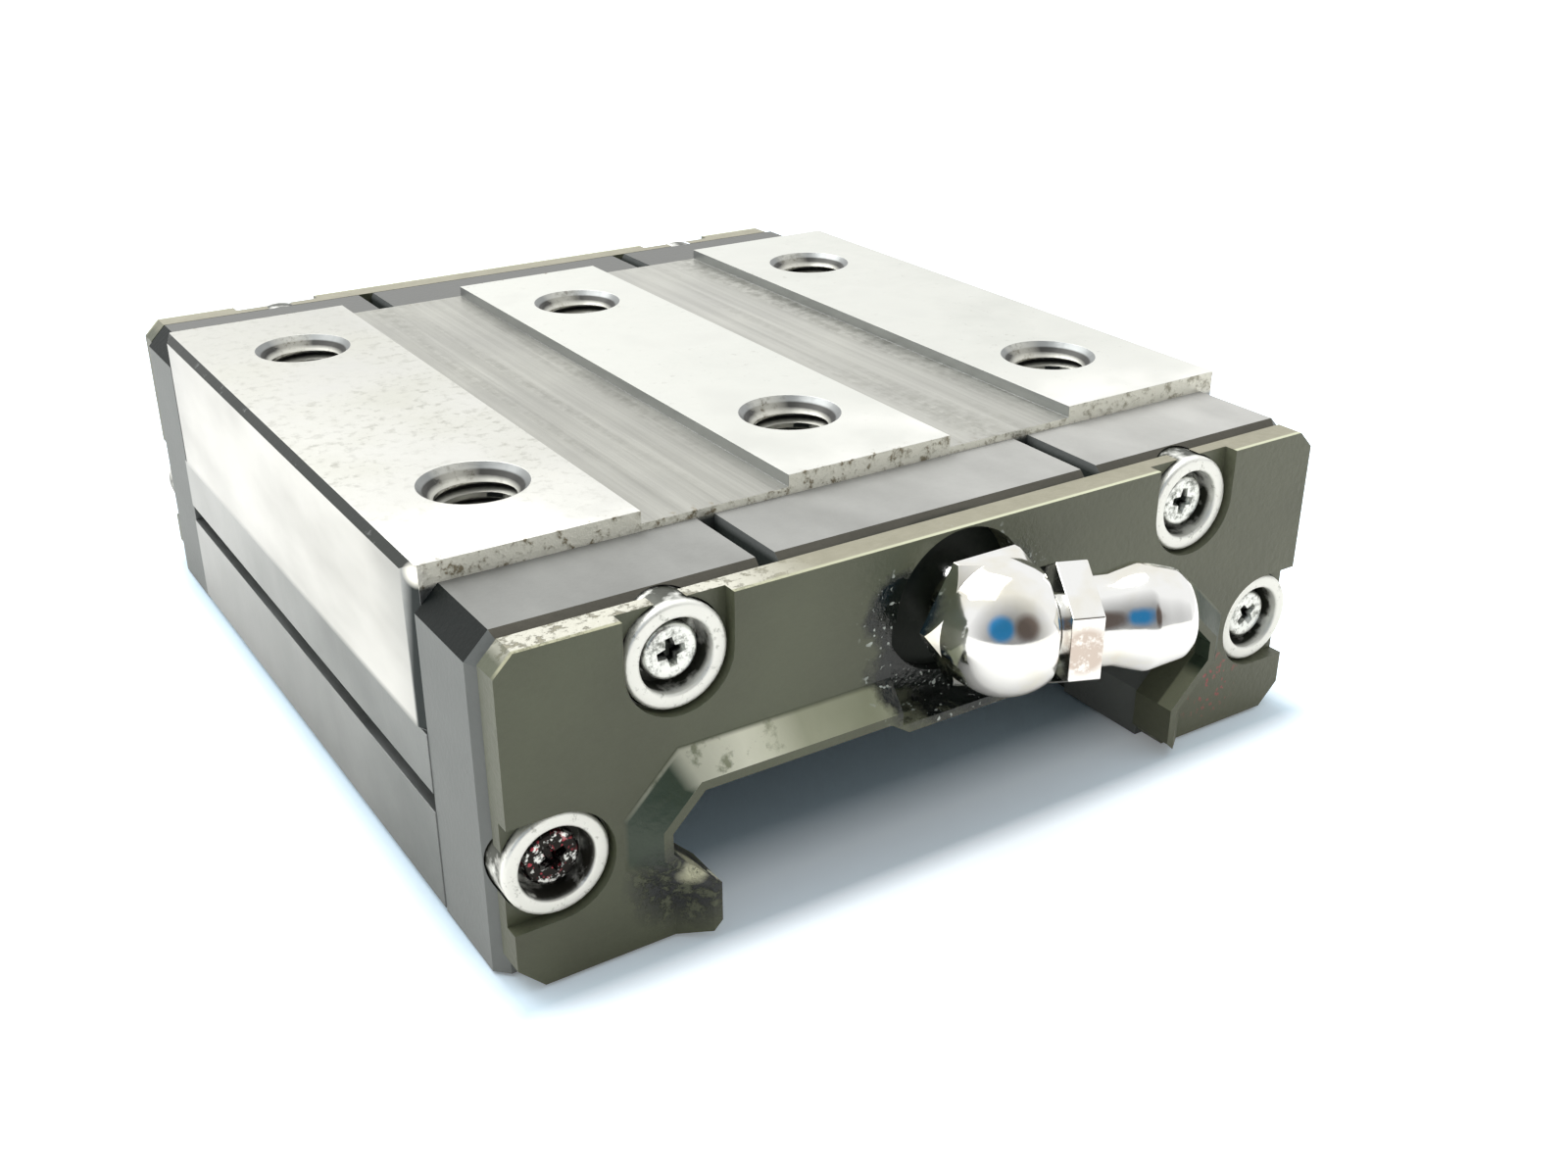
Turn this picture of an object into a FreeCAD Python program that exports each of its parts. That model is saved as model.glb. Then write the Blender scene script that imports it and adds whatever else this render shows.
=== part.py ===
import FreeCAD, Part
import math
import os
import re
import Sketcher

# Carriage of a wide, low linear guide: a ground steel block that runs on a 42 mm rail on four rows
# of recirculating balls, with moulded end caps, rubber-faced end seals and an angled grease nipple.
# X is across the rail, Y along it (the nipple end is -Y), Z up. Each piece is drawn with its heights
# above the block's underside, and then hangs from the middle of the top mounting face, the origin.

SIZES = {
    # steel block
    "block_width": 62.0,
    "block_height": 23.0,
    "block_length": 51.0,
    "top_edge_chamfer": 0.5,
    "bottom_edge_chamfer": 0.6,
    "pad_rise": 0.8,
    "centre_pad_half": 6.3,
    "outer_pad_width": 14.4,
    "datum_band_bottom": 12.5,
    "datum_band_proud": 0.12,
    "corner_relief_across": 0.6,
    "corner_relief_along": 1.2,
    "side_slot_height": 7.9,
    "side_slot_width": 1.3,
    "side_slot_depth": 1.6,
    # top mounting holes, three across and two along
    "hole_edge_distance": 8.0,
    "hole_spacing_along": 32.0,
    "hole_radius": 2.5,
    "hole_mouth_radius": 3.5,
    "hole_depth": 7.4,
    # rail that the carriage runs on
    "rail_side_cover": 10.0,
    "rail_waist_inset": 3.1,
    "rail_top": 10.4,
    "rail_shoulder_top": 8.3,
    "rail_shoulder_bottom": 7.0,
    "rail_gap": 0.9,
    # ball circuits
    "ball_radius": 1.985,
    "race_ease": 0.075,
    "upper_row_inset": 0.25,
    "upper_row_height": 10.45,
    "lower_row_inset": 0.5,
    "lower_row_height": 4.5,
    "turn_radius": 3.3,
    "upper_turn_tilt": 15.0,
    "lower_turn_tilt": -8.0,
    "path_clearance": 0.145,
    "tube_wall": 0.37,
    "ball_gap": 0.03,
    # channel in the block
    "ceiling_recess": 1.8,
    "shoulder_over_rail": 0.8,
    "retainer_ledge_inset": 1.8,
    "lip_inset": 2.0,
    # ball retainer strips
    "retainer_width": 2.4,
    "retainer_over_rail": 0.45,
    "side_retainer_wall": 0.65,
    "lower_retainer_wall": 0.7,
    "lower_retainer_bottom": 1.4,
    "lower_retainer_top": 3.9,
    "retainer_ball_gap": 0.12,
    # end caps
    "cap_length": 7.5,
    "cap_side_inset": 0.2,
    "cap_top": 21.7,
    "cap_bottom": 0.2,
    "cap_corner_chamfer": 1.5,
    "cap_edge_chamfer": 0.8,
    "cap_rail_gap": 0.45,
    "cap_slot_across": 12.3,
    "cap_slot_width": 1.3,
    "cap_slot_depth": 2.0,
    "guide_thickness": 4.4,
    "guide_fit": 0.05,
    "gallery_height": 15.4,
    "gallery_width": 1.6,
    "gallery_depth": 1.2,
    # end seals
    "seal_length": 2.0,
    "seal_side_inset": 0.6,
    "seal_top": 21.5,
    "seal_bottom": 0.25,
    "seal_corner_chamfer": 1.2,
    "seal_foot_chamfer": 1.6,
    "seal_pocket_depth": 1.0,
    "seal_rail_gap": 0.1,
    "seal_step_half": 4.7,
    "seal_step": 0.9,
    "seal_lip_reach": 1.4,
    "seal_lip_edge": 0.6,
    "seal_flare": 2.4,
    "port_pocket_half": 5.2,
    "port_opening_radius": 4.9,
    # collars and screws that hold the ends on
    "upper_screw_inset": 11.5,
    "upper_screw_height": 18.3,
    "lower_screw_inset": 3.6,
    "lower_screw_height": 7.7,
    "collar_radius": 3.25,
    "collar_fit": 0.1,
    "collar_rim_set_back": 0.4,
    "collar_length": 2.7,
    "collar_bore_radius": 2.3,
    "collar_floor": 0.75,
    "screw_head_radius": 1.75,
    "screw_head_length": 1.3,
    "screw_radius": 1.0,
    "screw_fit": 0.05,
    "screw_grip": 5.0,
    "recess_arm": 0.95,
    "recess_width": 0.5,
    "recess_depth": 0.8,
    # grease port, nipple and plug
    "port_height": 16.5,
    "port_radius": 2.7,
    "nipple_thread_length": 5.0,
    "nipple_hex_back": 1.85,
    "nipple_hex_flats": 8.0,
    "nipple_hex_land": 0.2,
    "nipple_hex_taper": 1.1,
    "nipple_ball_radius": 4.1,
    "nipple_ball_centre": 4.0,
    "nipple_tilt": 67.5,
    "nipple_bore_radius": 1.2,
    "elbow_face": 2.2,
    "spout_socket_radius": 1.9,
    "spout_socket_start": 1.2,
    "spout_hex_start": 2.85,
    "spout_hex_length": 2.0,
    "spout_hex_flats": 7.0,
    "spout_hex_turn": 30.0,
    "spout_neck_radius": 2.8,
    "spout_neck_length": 1.45,
    "spout_bulb_length": 4.85,
    "spout_bulb_radius": 3.33,
    "spout_bulb_widest": 2.0,
    "spout_waist_radius": 2.75,
    "spout_waist_from_end": 0.5,
    "spout_end_radius": 2.3,
    "spout_rounding": 0.8,
    "spout_mouth_radius": 0.8,
    "spout_mouth_depth": 0.7,
    "spout_duct_radius": 0.55,
    "valve_bore_radius": 1.15,
    "valve_bore_start": 5.0,
    "valve_ball_radius": 1.0,
    "valve_ball_fit": 0.03,
    "spring_radius": 0.78,
    "spring_wire_radius": 0.14,
    "spring_turns": 5.0,
    "plug_length": 5.0,
    "plug_socket_flats": 2.5,
    "plug_socket_depth": 2.6,
}
# widths that follow the block's own width, each from an inset or a cover of its own
RELATED = {
    "rail_half_width": "block_width / 2 - rail_side_cover",
    "rail_waist_half": "rail_half_width - rail_waist_inset",
    "upper_row_across": "rail_half_width - upper_row_inset",
    "lower_row_across": "rail_half_width - lower_row_inset",
    "retainer_ledge_half": "rail_half_width - retainer_ledge_inset",
    "lip_half_width": "rail_half_width - lip_inset",
    "outer_pad_inner": "block_width / 2 - outer_pad_width",
    "hole_spacing_across": "block_width / 2 - hole_edge_distance",
    "cap_half_width": "block_width / 2 - cap_side_inset",
    "seal_half_width": "block_width / 2 - seal_side_inset",
    "upper_screw_across": "block_width / 2 - upper_screw_inset",
    "lower_screw_across": "block_width / 2 - lower_screw_inset",
}
MAX_FILES = 60
SIDES = (("right", 1), ("left", -1))
ROWS = ("upper", "lower")
ENDS = (("front", 0), ("rear", 180))

document = FreeCAD.newDocument("linear_bearing_block")
sheet = document.addObject("Spreadsheet::Sheet", "sizes")
for row, (alias, value) in enumerate(SIZES.items(), start=1):
    sheet.set(f"A{row}", str(value))
    sheet.setAlias(f"A{row}", alias)
document.recompute()
ALIAS = re.compile(r"\b(" + "|".join(SIZES) + r")\b")
RELATION = re.compile(r"\b(" + "|".join(RELATED) + r")\b")
finished = []


def expanded(text):
    """The expression with each related width written out in named sizes."""
    text = str(text)
    while RELATION.search(text):
        text = RELATION.sub(lambda found: f"({RELATED[found.group(1)]})", text)
    return text


def bound(text):
    """The expression with each size's name pointed at the sheet."""
    return ALIAS.sub(r"sizes.\1", expanded(text))


def value_of(text):
    """The expression's value now, in millimetres or degrees."""
    result = sheet.evalExpression(expanded(text))
    return float(getattr(result, "Value", result))


def tie(item, **properties):
    """Binds properties to expressions; a double underscore stands for a dot."""
    for name, text in properties.items():
        item.setExpression(name.replace("__", "."), bound(text))


def new_body(name):
    return document.addObject("PartDesign::Body", name)


def plane(body, role):
    return next(item for item in body.Origin.OriginFeatures if item.Role == role)


def new_sketch(body, role="XZ_Plane", offset="0"):
    """A sketch on an origin plane. XZ sketches look along +Y, so their offset goes towards -Y."""
    sketch = body.newObject("Sketcher::SketchObject", body.Name + "_sketch")
    sketch.AttachmentSupport = [(plane(body, role), "")]
    sketch.MapMode = "FlatFace"
    tie(sketch, AttachmentOffset__Base__z=offset)
    return sketch


def pin_point(sketch, geometry, position, across, up):
    for kind, text in (("DistanceX", across), ("DistanceY", up)):
        index = sketch.addConstraint(Sketcher.Constraint(kind, geometry, position, value_of(text)))
        tie(sketch, **{f"Constraints[{index}]": text})


def outline(sketch, points):
    """A closed outline of straight edges through points given as pairs of expressions."""
    first = sketch.GeometryCount
    places = [FreeCAD.Vector(value_of(across), value_of(up), 0) for across, up in points]
    for start, end in zip(places, places[1:] + places[:1]):
        sketch.addGeometry(Part.LineSegment(start, end))
    for index, (across, up) in enumerate(points):
        following = (index + 1) % len(points)
        sketch.addConstraint(Sketcher.Constraint("Coincident", first + index, 2, first + following, 1))
        pin_point(sketch, first + index, 1, across, up)


def box_outline(sketch, low, high):
    outline(sketch, [low, (high[0], low[1]), high, (low[0], high[1])])


def circle(sketch, across, up, radius):
    centre = FreeCAD.Vector(value_of(across), value_of(up), 0)
    index = sketch.addGeometry(Part.Circle(centre, FreeCAD.Vector(0, 0, 1), value_of(radius)))
    pin_point(sketch, index, 3, across, up)
    size = sketch.addConstraint(Sketcher.Constraint("Radius", index, value_of(radius)))
    tie(sketch, **{f"Constraints[{size}]": radius})


def hexagon(sketch, across, up, flats, turned="0"):
    """A hexagon with corners to left and right, or turned by an angle."""
    reach = f"({flats}) / sqrt(3)"
    corners = [f"{turned} + {60 * step}" for step in range(6)]
    outline(sketch, [
        (f"({across}) + {reach} * cos({angle})", f"({up}) + {reach} * sin({angle})") for angle in corners
    ])


def both_sides(points):
    """A right-hand outline followed by its mirror image."""
    return points + [(f"-({across})", up) for across, up in reversed(points)]


def add_feature(body, kind, sketch, length, **flags):
    """A Pad or a Pocket of the sketch, checked to have changed the solid the right way."""
    before = body.Shape.Volume if body.Tip else 0.0
    feature = body.newObject("PartDesign::" + kind, f"{body.Name}_{kind.lower()}")
    feature.Profile = sketch
    for name, flag in flags.items():
        setattr(feature, name, flag)
    tie(feature, Length=length)
    document.recompute()
    grown = body.Shape.Volume - before
    if (grown <= 0) == (kind == "Pad"):
        raise RuntimeError(f"{feature.Name} did not change {body.Name}")
    return feature


def pad(body, sketch, length, **flags):
    return add_feature(body, "Pad", sketch, length, **flags)


def pocket(body, sketch, length, **flags):
    return add_feature(body, "Pocket", sketch, length, **flags)


def revolve(body, profile):
    """A full turn of the profile about its own sketch's horizontal axis."""
    turned = body.newObject("PartDesign::Revolution", body.Name + "_revolution")
    turned.Profile = profile
    turned.ReferenceAxis = (profile, ["H_Axis"])
    turned.Angle = 360
    document.recompute()


def dress(body, kind, edges, **properties):
    """A Fillet or a Chamfer of the named edges of the solid as it stands."""
    base = body.Tip
    feature = body.newObject("PartDesign::" + kind, f"{body.Name}_{kind.lower()}")
    feature.Base = (base, edges)
    tie(feature, **properties)
    document.recompute()


def primitive(body, kind, place=("0", "0", "0"), axis=None, tilt="0", **properties):
    """A PartDesign primitive at a place, turned about an axis by a tilt."""
    item = body.newObject("PartDesign::" + kind, f"{body.Name}_{kind.lower()}")
    if axis:
        item.Placement = FreeCAD.Placement(FreeCAD.Vector(), FreeCAD.Rotation(FreeCAD.Vector(*axis), 1))
        tie(item, Placement__Rotation__Angle=tilt)
    tie(item, **{f"Placement__Base__{name}": text for name, text in zip("xyz", place)})
    tie(item, **properties)
    return item


def settle(item, label, turn=0, place=("0", "0", "0"), axis=(0, 0, 1), tilt=None):
    """Names a finished piece and hangs it from the mounting face at height 0."""
    item.Label = label
    item.Placement = FreeCAD.Placement(FreeCAD.Vector(), FreeCAD.Rotation(FreeCAD.Vector(*axis), turn))
    if tilt:
        tie(item, Placement__Rotation__Angle=tilt)
    across, along, up = place
    tie(item, Placement__Base__x=across, Placement__Base__y=along,
        Placement__Base__z=f"({up}) - block_height")
    finished.append(item)


def rail_contour(gap):
    """The right half of the rail's outline, grown by a gap: top edge, shoulder and waist."""
    slant = f"({gap}) * 0.414"
    top = f"rail_top + {gap}"
    side = f"rail_half_width + {gap}"
    waist = f"rail_waist_half + {gap}"
    return [
        (f"rail_half_width - (rail_top - rail_shoulder_top) + {slant}", top),
        (side, f"rail_shoulder_top + {slant}"),
        (side, f"rail_shoulder_bottom - {slant}"),
        (waist, f"rail_shoulder_bottom - (rail_half_width - rail_waist_half) - {slant}"),
    ]


def row_place(row):
    return f"{row}_row_across", f"{row}_row_height"


def race_place(row):
    """The race's centre, set off towards the rail so that the ball bears on it at 45 degrees."""
    across, height = row_place(row)
    sign = "-" if row == "upper" else "+"
    return f"{across} - race_ease * 0.707", f"{height} {sign} race_ease * 0.707"


def circuit_place(row, share):
    """A point on the way from a circuit's load row (0) to its return bore (1)."""
    across, height = row_place(row)
    reach = f"{2 * share} * turn_radius"
    return f"{across} + {reach} * cos({row}_turn_tilt)", f"{height} + {reach} * sin({row}_turn_tilt)"


RACE_RADIUS = "ball_radius + race_ease"
PATH_RADIUS = "ball_radius + path_clearance"
TUBE_RADIUS = "ball_radius + path_clearance + tube_wall"
END_FACE = "block_length / 2"
CAP_FACE = "block_length / 2 + cap_length"
SEAL_FACE = "block_length / 2 + cap_length + seal_length"
ELBOW = "block_length / 2 + cap_length + seal_length + nipple_ball_centre"
HEX_END = "spout_hex_start + spout_hex_length"
BULB_START = "spout_hex_start + spout_hex_length + spout_neck_length"
SPOUT_END = "spout_hex_start + spout_hex_length + spout_neck_length + spout_bulb_length"
VALVE_CENTRE = (
    f"{SPOUT_END} - spout_mouth_depth"
    " - sqrt((valve_ball_radius + valve_ball_fit) ^ 2 - spout_mouth_radius ^ 2)"
)
SCREW_PLACES = [
    (f"{sign} * {row}_screw_across", f"{row}_screw_height") for row in ROWS for sign in (1, -1)
]


def steel_block():
    """Hardened block: an extruded section with ground pads, datum bands, races and tapped holes."""
    body = new_body("steel_block")
    ceiling = "rail_top + shoulder_over_rail + ceiling_recess"
    shoulder = "rail_top + shoulder_over_rail"
    wall = "rail_half_width + rail_gap"
    side = "block_width / 2"
    lip_top = "rail_shoulder_bottom - rail_gap * 1.2"
    section = new_sketch(body)
    outline(section, both_sides([
        ("retainer_ledge_half", ceiling),
        ("retainer_ledge_half", shoulder),
        (wall, shoulder),
        (wall, lip_top),
        ("lip_half_width", f"{lip_top} - ({wall} - lip_half_width)"),
        ("lip_half_width", "0"),
        (f"{side} - bottom_edge_chamfer", "0"),
        (side, "bottom_edge_chamfer"),
        (side, "block_height - top_edge_chamfer"),
        (f"{side} - top_edge_chamfer", "block_height"),
    ]))
    pad(body, section, "block_length", Midplane=True)
    cuts = new_sketch(body)
    for sign in (1, -1):
        slot_in = f"{sign} * ({side} - side_slot_depth)"
        slot_out = f"{sign} * ({side} + 1)"
        box_outline(cuts, (slot_in, "side_slot_height - side_slot_width / 2"),
                    (slot_out, "side_slot_height + side_slot_width / 2"))
        box_outline(cuts, (f"{sign} * centre_pad_half", "block_height - pad_rise"),
                    (f"{sign} * outer_pad_inner", "block_height + 1"))
    pocket(body, cuts, "block_length * 2", Midplane=True)
    flanks = new_sketch(body)
    for sign in (1, -1):
        box_outline(flanks, (f"{sign} * ({side} - datum_band_proud)", "-1"),
                    (f"{sign} * ({side} + 1)", "datum_band_bottom"))
    pocket(body, flanks, "block_length * 2", Midplane=True)
    bores = new_sketch(body)
    for sign in (1, -1):
        for row in ROWS:
            across, height = race_place(row)
            circle(bores, f"{sign} * ({across})", height, RACE_RADIUS)
            across, height = circuit_place(row, 1)
            circle(bores, f"{sign} * ({across})", height, TUBE_RADIUS)
    pocket(body, bores, "block_length * 2", Midplane=True)
    corners = new_sketch(body, "XY_Plane", "block_height")
    for across_sign in (1, -1):
        for along_sign in (1, -1):
            outline(corners, [
                (f"{across_sign} * ({side} - corner_relief_across)", f"{along_sign} * block_length / 2"),
                (f"{across_sign} * {side}", f"{along_sign} * block_length / 2"),
                (f"{across_sign} * {side}",
                 f"{along_sign} * (block_length / 2 - corner_relief_along)"),
            ])
    pocket(body, corners, "block_height - datum_band_bottom")
    screws = new_sketch(body, offset=END_FACE)
    for across, height in SCREW_PLACES:
        circle(screws, across, height, "screw_radius + screw_fit / 2")
    front_holes = pocket(body, screws, "screw_grip + 0.5")
    mirror = body.newObject("PartDesign::Mirrored", "rear_holes")
    mirror.Originals = [front_holes]
    mirror.MirrorPlane = (plane(body, "XZ_Plane"), [""])
    body.Tip = mirror
    document.recompute()
    mounting_holes(body)
    settle(body, "steel_block")


def mounting_holes(body):
    """Six tapped holes from the top face with countersunk mouths."""
    places = new_sketch(body, "XY_Plane", "block_height")
    for column in (-1, 0, 1):
        for line in (-0.5, 0.5):
            circle(places, f"{column} * hole_spacing_across", f"{line} * hole_spacing_along", "hole_radius")
    document.recompute()
    before = body.Shape.Volume
    hole = body.newObject("PartDesign::Hole", "mounting_hole")
    hole.Profile = places
    hole.ThreadType = "None"
    hole.DepthType = "Dimension"
    hole.DrillPoint = "Angled"
    hole.HoleCutType = "Countersink"
    hole.HoleCutCustomValues = True
    hole.HoleCutCountersinkAngle = 90
    tie(hole, Diameter="2 * hole_radius", Depth="hole_depth", HoleCutDiameter="2 * hole_mouth_radius")
    document.recompute()
    if body.Shape.Volume >= before:
        raise RuntimeError("the mounting holes cut nothing")


def end_cap(label, turn):
    """Moulded cap that turns the balls round and carries grease to the four circuits."""
    body = new_body(label)
    side = "cap_half_width"
    section = new_sketch(body, offset=END_FACE)
    outline(section, both_sides(rail_contour("cap_rail_gap") + [
        ("rail_waist_half + cap_rail_gap", "cap_bottom"),
        (side, "cap_bottom"),
        (side, "cap_top - cap_corner_chamfer"),
        (f"{side} - cap_corner_chamfer", "cap_top"),
    ]))
    pad(body, section, "cap_length")
    edge_chamfer(body)
    slots = new_sketch(body, offset=END_FACE)
    for sign in (1, -1):
        box_outline(slots, (f"{sign} * cap_slot_across - cap_slot_width / 2", "cap_top - cap_slot_depth"),
                    (f"{sign} * cap_slot_across + cap_slot_width / 2", "cap_top + 1"))
    pocket(body, slots, "cap_length + 1", Reversed=True)
    bores = new_sketch(body, offset=CAP_FACE)
    for across, height in SCREW_PLACES:
        circle(bores, across, height, "screw_radius + screw_fit")
    circle(bores, "0", "port_height", "port_radius")
    pocket(body, bores, "cap_length")
    seats = new_sketch(body, offset=CAP_FACE)
    for across, height in SCREW_PLACES:
        circle(seats, across, height, "collar_radius + collar_fit")
    pocket(body, seats, "collar_length + collar_rim_set_back - seal_length")
    gallery = new_sketch(body, offset=END_FACE)
    reach, foot = circuit_place("upper", 0.5)[0], circuit_place("lower", 0.5)[1]
    half = "gallery_width / 2"
    outline(gallery, [
        (f"-({reach}) - {half}", f"gallery_height + {half}"),
        (f"-({reach}) - {half}", foot),
        (f"-({reach}) + {half}", foot),
        (f"-({reach}) + {half}", f"gallery_height - {half}"),
        (f"({reach}) - {half}", f"gallery_height - {half}"),
        (f"({reach}) - {half}", foot),
        (f"({reach}) + {half}", foot),
        (f"({reach}) + {half}", f"gallery_height + {half}"),
    ])
    pocket(body, gallery, "gallery_depth", Reversed=True)
    for sign in (1, -1):
        for row in ROWS:
            turn_cavity(body, row, sign)
    settle(body, label, turn)


def edge_chamfer(body):
    """Chamfers the cap's outer front edges, from foot to foot round the top."""
    front = -value_of(CAP_FACE)
    half, top = value_of("cap_half_width"), value_of("cap_top")
    corner = value_of("cap_corner_chamfer")
    names = []
    for index, edge in enumerate(body.Shape.Edges, start=1):
        middle = edge.CenterOfMass
        outer = max(abs(middle.x) - half, middle.z - top, abs(middle.x) + middle.z - half - top + corner)
        if abs(middle.y - front) < 1e-6 and abs(outer) < 1e-6 and edge.BoundBox.YLength < 1e-6:
            names.append(f"Edge{index}")
    dress(body, "Chamfer", names, Size="cap_edge_chamfer")


def turn_cavity(body, row, sign):
    """The U-turn of one circuit in the cap: a round path and the seat of its inner guide."""
    across, height = circuit_place(row, 0.5)
    place = (f"{sign} * ({across})", f"-({END_FACE})", height)
    tilt = f"-{row}_turn_tilt" if sign > 0 else f"{row}_turn_tilt"
    primitive(body, "SubtractiveTorus", place, (0, 1, 0), tilt,
              Radius1="turn_radius", Radius2=PATH_RADIUS)
    half = "guide_thickness / 2 + guide_fit"
    lean = f"({half}) * sin({tilt})"
    rise = f"({half}) * cos({tilt})"
    seat = (f"{place[0]} - {lean}", place[1], f"{place[2]} - {rise}")
    primitive(body, "SubtractiveCylinder", seat, (0, 1, 0), tilt,
              Radius="turn_radius", Height=f"2 * ({half})")


def turn_guide(row, side, sign, end, turn):
    """Half-round inner guide of a U-turn, grooved for the balls, seated in the cap's cavity."""
    body = new_body(f"{end}_{side}_{row}_turn_guide")
    primitive(body, "AdditiveCylinder", ("0", "0", "-guide_thickness / 2"),
              Radius="turn_radius - guide_fit", Height="guide_thickness")
    primitive(body, "SubtractiveTorus", Radius1="turn_radius", Radius2=PATH_RADIUS)
    document.recompute()
    outward = -1 if turn == 0 else 1
    halves = new_sketch(body, "XY_Plane")
    box_outline(halves, ("-2 * turn_radius", "0"), ("2 * turn_radius", f"{-outward * 2} * turn_radius"))
    pocket(body, halves, "4 * guide_thickness", Midplane=True)
    across, height = circuit_place(row, 0.5)
    tilt = f"-{row}_turn_tilt" if sign > 0 else f"{row}_turn_tilt"
    place = (f"{sign} * ({across})", f"{outward} * ({END_FACE})", height)
    settle(body, body.Name, 1, place, (0, 1, 0), tilt)


def return_tube(row, side, sign):
    """Plastic tube that lines a circuit's return bore through the block."""
    body = new_body(f"{side}_{row}_return_tube")
    ring = new_sketch(body)
    circle(ring, "0", "0", TUBE_RADIUS)
    circle(ring, "0", "0", PATH_RADIUS)
    pad(body, ring, "block_length", Midplane=True)
    across, height = circuit_place(row, 1)
    settle(body, body.Name, 0, (f"{sign} * ({across})", "0", height))


def ball_circuit(row, side, sign):
    """Full complement of balls round one circuit: load row, turn, return bore and turn."""
    length, radius = value_of("block_length"), value_of("turn_radius")
    ball, gap = value_of("ball_radius"), value_of("ball_gap")
    turn = math.pi * radius
    lap = 2 * (length + turn)
    count = int(lap // (2 * ball + gap))
    balls = []
    for index in range(count):
        travel = lap * index / count
        if travel < length:
            along, out = travel - length / 2, 0.0
        elif travel < length + turn:
            angle = (travel - length) / radius
            along, out = length / 2 + radius * math.sin(angle), radius * (1 - math.cos(angle))
        elif travel < 2 * length + turn:
            along, out = length / 2 - (travel - length - turn), 2 * radius
        else:
            angle = (travel - 2 * length - turn) / radius
            along, out = -length / 2 - radius * math.sin(angle), radius * (1 + math.cos(angle))
        tilt = math.radians(value_of(f"{row}_turn_tilt"))
        across, height = (value_of(text) for text in row_place(row))
        centre = FreeCAD.Vector(sign * (across + out * math.cos(tilt)), along, height + out * math.sin(tilt))
        balls.append(Part.makeSphere(ball, centre))
    circuit = document.addObject("Part::Feature", f"{side}_{row}_balls")
    circuit.Shape = Part.makeCompound(balls)
    settle(circuit, circuit.Name)


def retainers(side, turn):
    """Three strips that keep the balls of one side in when the carriage leaves the rail."""
    ball_gap = "ball_radius + retainer_ball_gap"
    ledge = "retainer_ledge_half"
    wall = "rail_half_width + rail_gap"
    lip = "lip_half_width"
    lower_across, lower_height = row_place("lower")
    upper_across, upper_height = row_place("upper")
    strips = {
        "top": ((f"{ledge} - retainer_width", "rail_top + retainer_over_rail"),
                (ledge, "rail_top + shoulder_over_rail + ceiling_recess")),
        "side": ((f"{wall} - side_retainer_wall", lower_height), (wall, upper_height)),
        "lower": ((f"{lip} - lower_retainer_wall", "lower_retainer_bottom"), (lip, "lower_retainer_top")),
    }
    for name, (low, high) in strips.items():
        body = new_body(f"{side}_{name}_retainer")
        section = new_sketch(body)
        box_outline(section, low, high)
        pad(body, section, "block_length", Midplane=True)
        paths = new_sketch(body)
        if name != "lower":
            circle(paths, upper_across, upper_height, ball_gap)
        if name != "top":
            circle(paths, lower_across, lower_height, ball_gap)
        pocket(body, paths, "block_length * 2", Midplane=True)
        settle(body, body.Name, turn)


def end_seal(label, turn):
    """Rubber-faced plate whose flared lip wipes the rail, with pockets round its collars."""
    body = new_body(label)
    side = "seal_half_width"
    contour = seal_contour()
    section = new_sketch(body, offset=CAP_FACE)
    outline(section, both_sides(contour + [
        ("rail_waist_half + seal_rail_gap + seal_foot_chamfer * 0.6", "seal_bottom"),
        (f"{side} - seal_foot_chamfer", "seal_bottom"),
        (side, "seal_bottom + seal_foot_chamfer"),
        (side, "seal_top"),
    ]))
    pad(body, section, "seal_length")
    cut_corners(body)
    seal_lip(body)
    face = new_sketch(body, offset=f"{SEAL_FACE} + seal_lip_reach + 1")
    box_outline(face, ("-port_pocket_half", "rail_top + seal_rail_gap - seal_step + seal_lip_edge"),
                ("port_pocket_half", "port_height"))
    pocket(body, face, "seal_lip_reach + 1 + seal_pocket_depth")
    pocket_half = "collar_radius + 2 * collar_fit"
    pockets = new_sketch(body, offset=SEAL_FACE)
    for sign in (1, -1):
        box_outline(pockets, (f"{sign} * upper_screw_across - ({pocket_half})", "upper_screw_height"),
                    (f"{sign} * upper_screw_across + {pocket_half}", "seal_top + 1"))
        box_outline(pockets, (f"{sign} * lower_screw_across", f"lower_screw_height - ({pocket_half})"),
                    (f"{sign} * (seal_half_width + 1)", f"lower_screw_height + {pocket_half}"))
    pocket(body, pockets, "seal_pocket_depth")
    rounds = new_sketch(body, offset=SEAL_FACE)
    for across, height in SCREW_PLACES:
        circle(rounds, across, height, pocket_half)
    pocket(body, rounds, "seal_pocket_depth")
    openings = new_sketch(body, offset=SEAL_FACE)
    for across, height in SCREW_PLACES:
        circle(openings, across, height, "collar_radius + collar_fit")
    circle(openings, "0", "port_height", "port_opening_radius")
    pocket(body, openings, "seal_length + 1")
    settle(body, label, turn)


def seal_contour():
    """The seal's edge round the rail, with its lower middle step."""
    return [
        ("seal_step_half", "rail_top + seal_rail_gap - seal_step"),
        ("seal_step_half + 1.5 * seal_step", "rail_top + seal_rail_gap"),
    ] + rail_contour("seal_rail_gap") + [
        ("rail_waist_half + seal_rail_gap", "seal_bottom + seal_foot_chamfer * 0.6"),
    ]


def cut_corners(body):
    names = [
        f"Edge{index}" for index, edge in enumerate(body.Shape.Edges, start=1)
        if edge.BoundBox.XLength < 1e-6 and edge.BoundBox.ZLength < 1e-6
        and abs(edge.CenterOfMass.z - value_of("seal_top")) < 1e-6
    ]
    dress(body, "Chamfer", names, Size="seal_corner_chamfer")


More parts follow.
